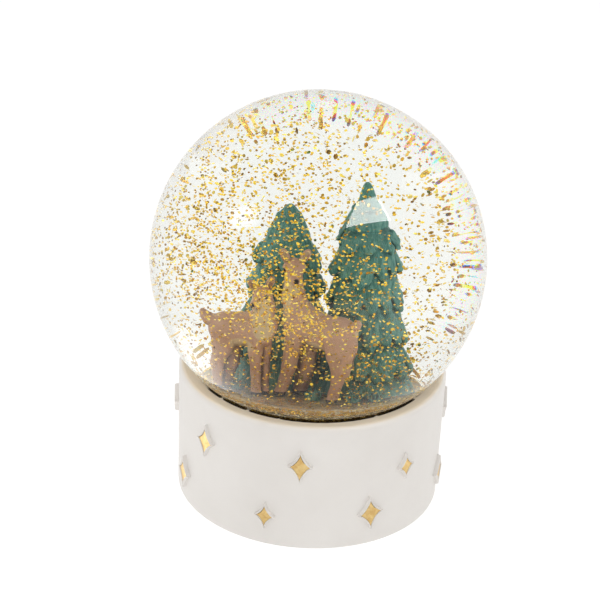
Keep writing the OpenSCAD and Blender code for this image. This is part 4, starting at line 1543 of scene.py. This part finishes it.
def ground_flakes(rng):
    keep_out = [(tree["x"], tree["y"], tree["tiers"][-1][2] + 0.6) for tree in (TALL, SHORT)]
    keep_out += [(x, y, radius + 0.4) for x, y, radius, _ in TUFTS]
    keep_out += [(x, y, 2.0) for x, y in HOOF_SPOTS]
    pts = []
    while len(pts) < 520:
        ang = rng.uniform(0, TURN)
        rad = PLINTH_R * math.sqrt(rng.uniform(0, 0.97))
        x, y = rad * math.cos(ang), rad * math.sin(ang)
        if any(np.hypot(x - cx, y - cy) < gap for cx, cy, gap in keep_out):
            continue
        pts.append((x, y, GROUND_Z + 0.12 + rng.uniform(0, 0.35)))
    count = len(pts)
    normals = rng.normal(0, 0.22, (count, 3)) + [0, 0, 1]
    flake_mesh("flakes_on_ground", np.array(pts), normals, rng.uniform(0, 3, count),
               rng.uniform(0.55, 0.75, count), seed=72)


def bed_flakes(rng):
    """Flakes on the bed, and some on the glass above its low back."""
    count, stuck_count = 2600, 230
    ang = rng.uniform(0, TURN, count)
    z = (NECK_TOP_Z + (SETTLED_Z - 0.35 - NECK_TOP_Z) * bed_fill(33 * np.sin(ang))
         + rng.uniform(-0.12, 0.75, count))
    outer = np.sqrt((INNER_R - 0.45) ** 2 - (z - BALL_Z) ** 2)
    rad = np.sqrt(rng.uniform((PLINTH_R + 0.5) ** 2, outer ** 2, count))
    normals = rng.normal(0, 0.55, (count, 3)) + [0, 0, 1]
    lying = np.stack([rad * np.cos(ang), rad * np.sin(ang), z], -1)
    ang = rng.uniform(0.27 * math.pi, 0.73 * math.pi, stuck_count)
    z = BASE_H + rng.uniform(2.3, 4.2, stuck_count)
    rad = np.sqrt((INNER_R - 0.15 - rng.uniform(0.03, 0.3, stuck_count)) ** 2 - (z - BALL_Z) ** 2)
    stuck = np.stack([rad * np.cos(ang), rad * np.sin(ang), z], -1)
    outward = (stuck - [0, 0, BALL_Z]) / INNER_R + rng.normal(0, 0.1, (stuck_count, 3))
    count += stuck_count
    flake_mesh("flakes_on_bed", np.concatenate([lying, stuck]),
               np.concatenate([normals, outward]), rng.uniform(0, 3, count),
               rng.uniform(0.52, 0.75, count), seed=73)


# ---------------------------------------------------------------- underside and hidden pieces
def felt():
    """Pressed felt disc, slightly uneven, with a soft edge."""
    n = 300
    top = FELT_T - 0.02
    prof = [(0.3, 0.0)] + line((1, 0.0), (FELT_R - 0.5, 0.0), 46)
    prof += arc(FELT_R - 0.45, 0.45, 0.45, -90, 0, 6)
    prof += arc(FELT_R - 0.35, FELT_T - 0.35, 0.33, 0, 90, 5)
    prof += line((FELT_R - 0.6, top), (0.6, top), 10) + [(0.3, top)]
    verts = lathe(prof, n)
    rad = axis_dist(verts)
    lift = (1 - ease(0.0, 0.5, verts[:, 2])) * (0.04 + 0.04 * fractal(verts / 1.1, 3, 33))
    verts[:, 2] += lift * ease(FELT_R + 0.2, FELT_R - 1.2, rad)
    edge = ease(FELT_R - 0.7, FELT_R - 0.2, rad)
    worn = 0.12 + 0.12 * fractal(verts / 0.7, 2, 35)
    verts[:, :2] *= (1 - edge * worn / FELT_R)[:, None]
    verts, faces = solid(verts, n, 0.05, top)
    cloth = mottled("felt", under=(0.62, 0.60, 0.56), over=(0.74, 0.72, 0.68), scale=0.35,
                    rough=(0.85, 1.0), spec=0.1, depth=0.12, fibre=True)
    make("felt_disc", verts, faces, cloth, "felt", "felt_pad")


def hidden():
    """The pieces kept as they are take a material and flat shading."""
    mats = {
        "bottom_board": mottled(
            "grey_board", under=(0.34, 0.28, 0.2), over=(0.42, 0.35, 0.26), scale=0.5,
            rough=(0.8, 0.95), spec=0.15, depth=0.1, fibre=True),
        "rubber_stopper": mottled(
            "stopper_rubber", under=(0.035, 0.035, 0.036), over=(0.055, 0.054, 0.053),
            scale=0.3, rough=(0.5, 0.7), spec=0.3),
        "stopper_sealant": mottled(
            "sealant", under=(0.62, 0.6, 0.55), over=(0.7, 0.68, 0.63), scale=0.4,
            rough=(0.25, 0.4), spec=0.5),
        # near black as painted shadow of the gap round the glass
        "globe_adhesive": mottled(
            "bond", under=(0.03, 0.022, 0.014), over=(0.06, 0.045, 0.03), scale=0.5,
            rough=(0.2, 0.35), spec=0.5),
    }
    for node, mat in mats.items():
        mesh = frame["nodes"][node].data
        mesh.materials.clear()
        mesh.materials.append(mat)
        for face in mesh.polygons:
            face.use_smooth = False


# ---------------------------------------------------------------- build
drum()
stars()
glass()
liquid()
fir("painted_fir_tall", "tall_tree", seed=8, slim=0.3, **TALL)
fir("painted_fir_short", "short_tree", seed=19, slim=1.4, **SHORT)
both_deer = [deer_right(), deer_left()]
tufts()
ground()
bed()
floating_flakes(both_deer)
lying_rng = np.random.default_rng(71)
ground_flakes(lying_rng)
bed_flakes(lying_rng)
felt()
hidden()


# ---------------------------------------------------------------- stage, light, camera
CENTRE = Vector((0, 0, BALL_Z * MM))
scene = bpy.context.scene


def floor_paint():
    """Pale glowing floor. Steep mirror rays see a brighter pool at the left and a dimmer front;
    a camera under the floor looks through it."""
    mat = new_mat("pale_floor")
    rays = mat.node("LightPath").outputs
    place = mat.get("TexCoord", output="Object")
    away = mat.vector("DISTANCE", place, (-0.082, -0.018, 0))
    pool = mat.ramp(mat.times(away, 10.0), [(0.1, 1.0), (0.34, 0.55), (0.62, 0.0)], "EASE")
    ray_z = mat.xyz(mat.get("NewGeometry", output="Incoming"))[2]
    steep = mat.fade(ray_z, at=(0.5, 0.6))
    front = mat.fade(mat.times(mat.xyz(place)[1], -10.0), at=(0.1, 0.45), to=(0.0, 0.5))
    mirror = mat.times(rays["Is Glossy Ray"], rays["Is Reflection Ray"])
    lift = mat.minus(mat.times(pool, 1.75), front)
    strength = mat.plus(mat.times(mat.times(mirror, steep), lift), 0.80)
    glow = mat.get("Emission", {"Color": (1, 0.998, 0.992), "Strength": strength})
    matt = mat.get("BsdfDiffuse", {"Color": (0.34, 0.34, 0.34)})
    below = mat.times(rays["Is Camera Ray"], mat.math("LESS_THAN", ray_z, 0.0))
    lit = mat.get("AddShader", {0: matt, 1: glow})
    return mat.surface(mat.mix_shader(below, lit, mat.get("BsdfTransparent")))


def floor():
    n, radius, z = 128, 2200.0, -0.05
    rings = [(radius * part, z) for part in (1.0, 0.5, 0.2, 0.08, 0.02)]
    verts = np.concatenate([lathe(rings, n), [[0, 0, z]]])
    faces = ring_quads(5, n).tolist() + fan(4 * n, n, 5 * n).tolist()
    mesh = bpy.data.meshes.new("studio_floor")
    mesh.from_pydata((verts * MM).tolist(), [], faces)
    mesh.materials.append(floor_paint())
    add_object("studio_floor", mesh)


def world():
    """Bright behind the object and dim on the camera's side, with no edge anywhere."""
    shades = [(0.0, (1.03, 1.02, 1.01)), (0.36, (1.0, 0.995, 0.985)),
              (0.58, (0.60, 0.595, 0.585)), (0.8, (0.38, 0.375, 0.37)),
              (1.0, (0.30, 0.297, 0.293))]
    scene.world = bpy.data.worlds.new("studio")
    sky = Nodes(scene.world, "OutputWorld")
    towards = (0, -math.cos(ELEVATION), math.sin(ELEVATION))
    dot = sky.vector("DOT_PRODUCT", sky.get("TexCoord", output="Generated"), towards)
    part = sky.get("MapRange", {"From Min": -1, "From Max": 1, "Value": dot})
    seen = sky.get("LightPath", output="Is Camera Ray")
    colour = sky.mix(seen, sky.ramp(part, shades), over=(1.05, 1.05, 1.05))
    sky.surface(sky.get("Background", {"Color": colour, "Strength": 1.0}))


def cut_card(lamp, outline, feather):
    """Cuts a card to a four-sided outline, given in fractions of its width and height."""
    card = Nodes(lamp)
    emission = next(node for node in card.tree.nodes if node.type == "EMISSION")
    place = card.get("NewGeometry", output="Parametric")
    keep = None
    for (x0, y0), (x1, y1) in zip(outline, outline[1:] + outline[:1]):
        length = math.hypot(x1 - x0, y1 - y0)
        in_x, in_y = -(y1 - y0) / length, (x1 - x0) / length
        dot = card.vector("DOT_PRODUCT", place, (in_x, in_y, 0))
        edge = card.fade(card.minus(dot, in_x * x0 + in_y * y0), at=(0.0, feather))
        keep = edge if keep is None else card.times(keep, edge)
    card.put(emission.inputs["Strength"], keep)


def softbox(name, toward, distance, size, radiance, across=None, diffuse=True, glossy=True,
            receivers=None, blockers=None):
    """A card facing the ball, toward a direction from its centre. Lengths are in metres."""
    out = Vector(toward).normalized()
    lamp = bpy.data.lights.new(name, "AREA")
    lamp.shape = "RECTANGLE"
    lamp.size, lamp.size_y = size
    lamp.energy = radiance * math.pi * size[0] * size[1]
    side = Vector(across) if across else Vector((0, 0, 1)).cross(out)
    side = (side - out * side.dot(out)).normalized()
    card = add_object(name, lamp)
    turned = Matrix((side, out.cross(side), out)).transposed().to_4x4()
    turned.translation = CENTRE + out * distance
    card.matrix_world = turned
    card.visible_transmission = False
    card.visible_camera = False
    card.visible_diffuse = diffuse
    card.visible_glossy = glossy
    if receivers:
        card.light_linking.receiver_collection = receivers
    if blockers:
        card.light_linking.blocker_collection = blockers
    return lamp


# Small lamps that light the flakes alone: direction, radiance, width in metres.
SPARKLES = [((-0.5, -0.75, 0.45), 5.8, 0.42), ((0.6, -0.6, 0.5), 5.2, 0.42),
            ((0.0, 0.86, 0.5), 6.0, 0.42), ((-0.55, 0.6, 0.6), 5.0, 0.42),
            ((0.55, 0.55, 0.62), 4.5, 0.42), ((-0.9, -0.1, 0.4), 3.5, 0.42),
            ((0.2, 0.72, 0.66), 100.0, 0.09), ((-0.3, -0.55, 0.78), 95.0, 0.09)]


def lights():
    seat = bpy.data.collections.new("seat_only")
    seat.objects.link(bpy.data.objects["cast_drum"])
    glitter = bpy.data.collections.new("glitter_receivers")
    for piece in scene.objects:
        if piece.name.startswith("flakes_"):
            glitter.objects.link(piece)
    floor()
    world()
    # cards that show in reflections alone
    lamp = softbox("card_right", toward=(0.4914, -0.4066, 0.7702), distance=0.62,
                   size=(0.456, 0.199), radiance=12.0, across=(0.765, 0.6242, -0.1585),
                   diffuse=False)
    cut_card(lamp, [(0.36, 0.852), (0.04, 0.094), (0.80, 0.043), (0.70, 0.919)], feather=0.012)
    lamp = softbox("card_left", toward=(-0.7299, -0.355, 0.5841), distance=0.62,
                   size=(0.331, 0.208), radiance=3.6, across=(0.6592, -0.5918, 0.4639),
                   diffuse=False)
    cut_card(lamp, [(0.02, 0.98), (0.02, 0.02), (0.88, 0.02), (0.88, 0.98)], feather=0.3)
    # fills that don't show in reflections
    softbox("front_fill", toward=(-0.26, -0.80, 0.56), distance=0.9, size=(0.6, 0.45),
            radiance=2.35, glossy=False)
    softbox("right_fill", toward=(0.90, -0.35, 0.26), distance=0.9, size=(0.5, 0.5),
            radiance=1.15, glossy=False)
    softbox("seat_light", toward=(0.0, 0.0, 1.0), distance=0.6, size=(0.3, 0.3), radiance=3.3,
            across=(1, 0, 0), glossy=False, receivers=seat, blockers=seat)
    softbox("top_fill", toward=(-0.2, -0.35, 0.9), distance=0.9, size=(0.5, 0.5),
            radiance=1.2, glossy=False)
    for k, (toward, radiance, width) in enumerate(SPARKLES):
        softbox("sparkle_%d" % k, toward, distance=0.6, size=(width, width),
                radiance=radiance, receivers=glitter)


def camera():
    """Looks at the ball from above, with its centre a little right of and above the middle."""
    lens, sensor = 132.0, 36
    ball_right, ball_up = 1.0896, 2.4816       # the ball's centre on the sensor, in mm
    back = Vector((0, -math.cos(ELEVATION), math.sin(ELEVATION)))
    right, up = Vector((1, 0, 0)), Vector((0, math.sin(ELEVATION), math.cos(ELEVATION)))
    rolled_x = math.cos(ROLL) * right + math.sin(ROLL) * up
    rolled_y = -math.sin(ROLL) * right + math.cos(ROLL) * up
    # the turn that takes the line of sight off the ball's centre
    aim = Vector((ball_right / lens, ball_up / lens, 1.0)).normalized()
    ahead = Vector((0, 0, 1))
    axis = ahead.cross(aim)
    skew = Matrix(((0, -axis.z, axis.y), (axis.z, 0, -axis.x), (-axis.y, axis.x, 0)))
    turn = Matrix.Identity(3) + skew + (skew @ skew) * (1 / (1 + ahead.dot(aim)))
    view_x, view_y, view_z = (row[0] * rolled_x + row[1] * rolled_y + row[2] * -back
                              for row in turn)
    data = bpy.data.cameras.new("camera")
    data.sensor_width = sensor
    data.lens = lens
    data.clip_start, data.clip_end = 0.01, 20
    placed = add_object("camera", data)
    pose = Matrix((view_x, view_y, -view_z)).transposed().to_4x4()
    pose.translation = CENTRE + back * CAMERA_DISTANCE
    placed.matrix_world = pose
    scene.camera = placed


lights()
camera()

scene.view_settings.view_transform = "Standard"
scene.view_settings.look = "None"
scene.view_settings.exposure = 0.0
scene.view_settings.gamma = 1.0
scene.cycles.max_bounces = 20
scene.cycles.transmission_bounces = 16
scene.cycles.transparent_max_bounces = 24
scene.cycles.glossy_bounces = 8
scene.cycles.diffuse_bounces = 4
scene.cycles.sample_clamp_indirect = 6.0
scene.cycles.blur_glossy = 0.2
scene.cycles.use_denoising = True
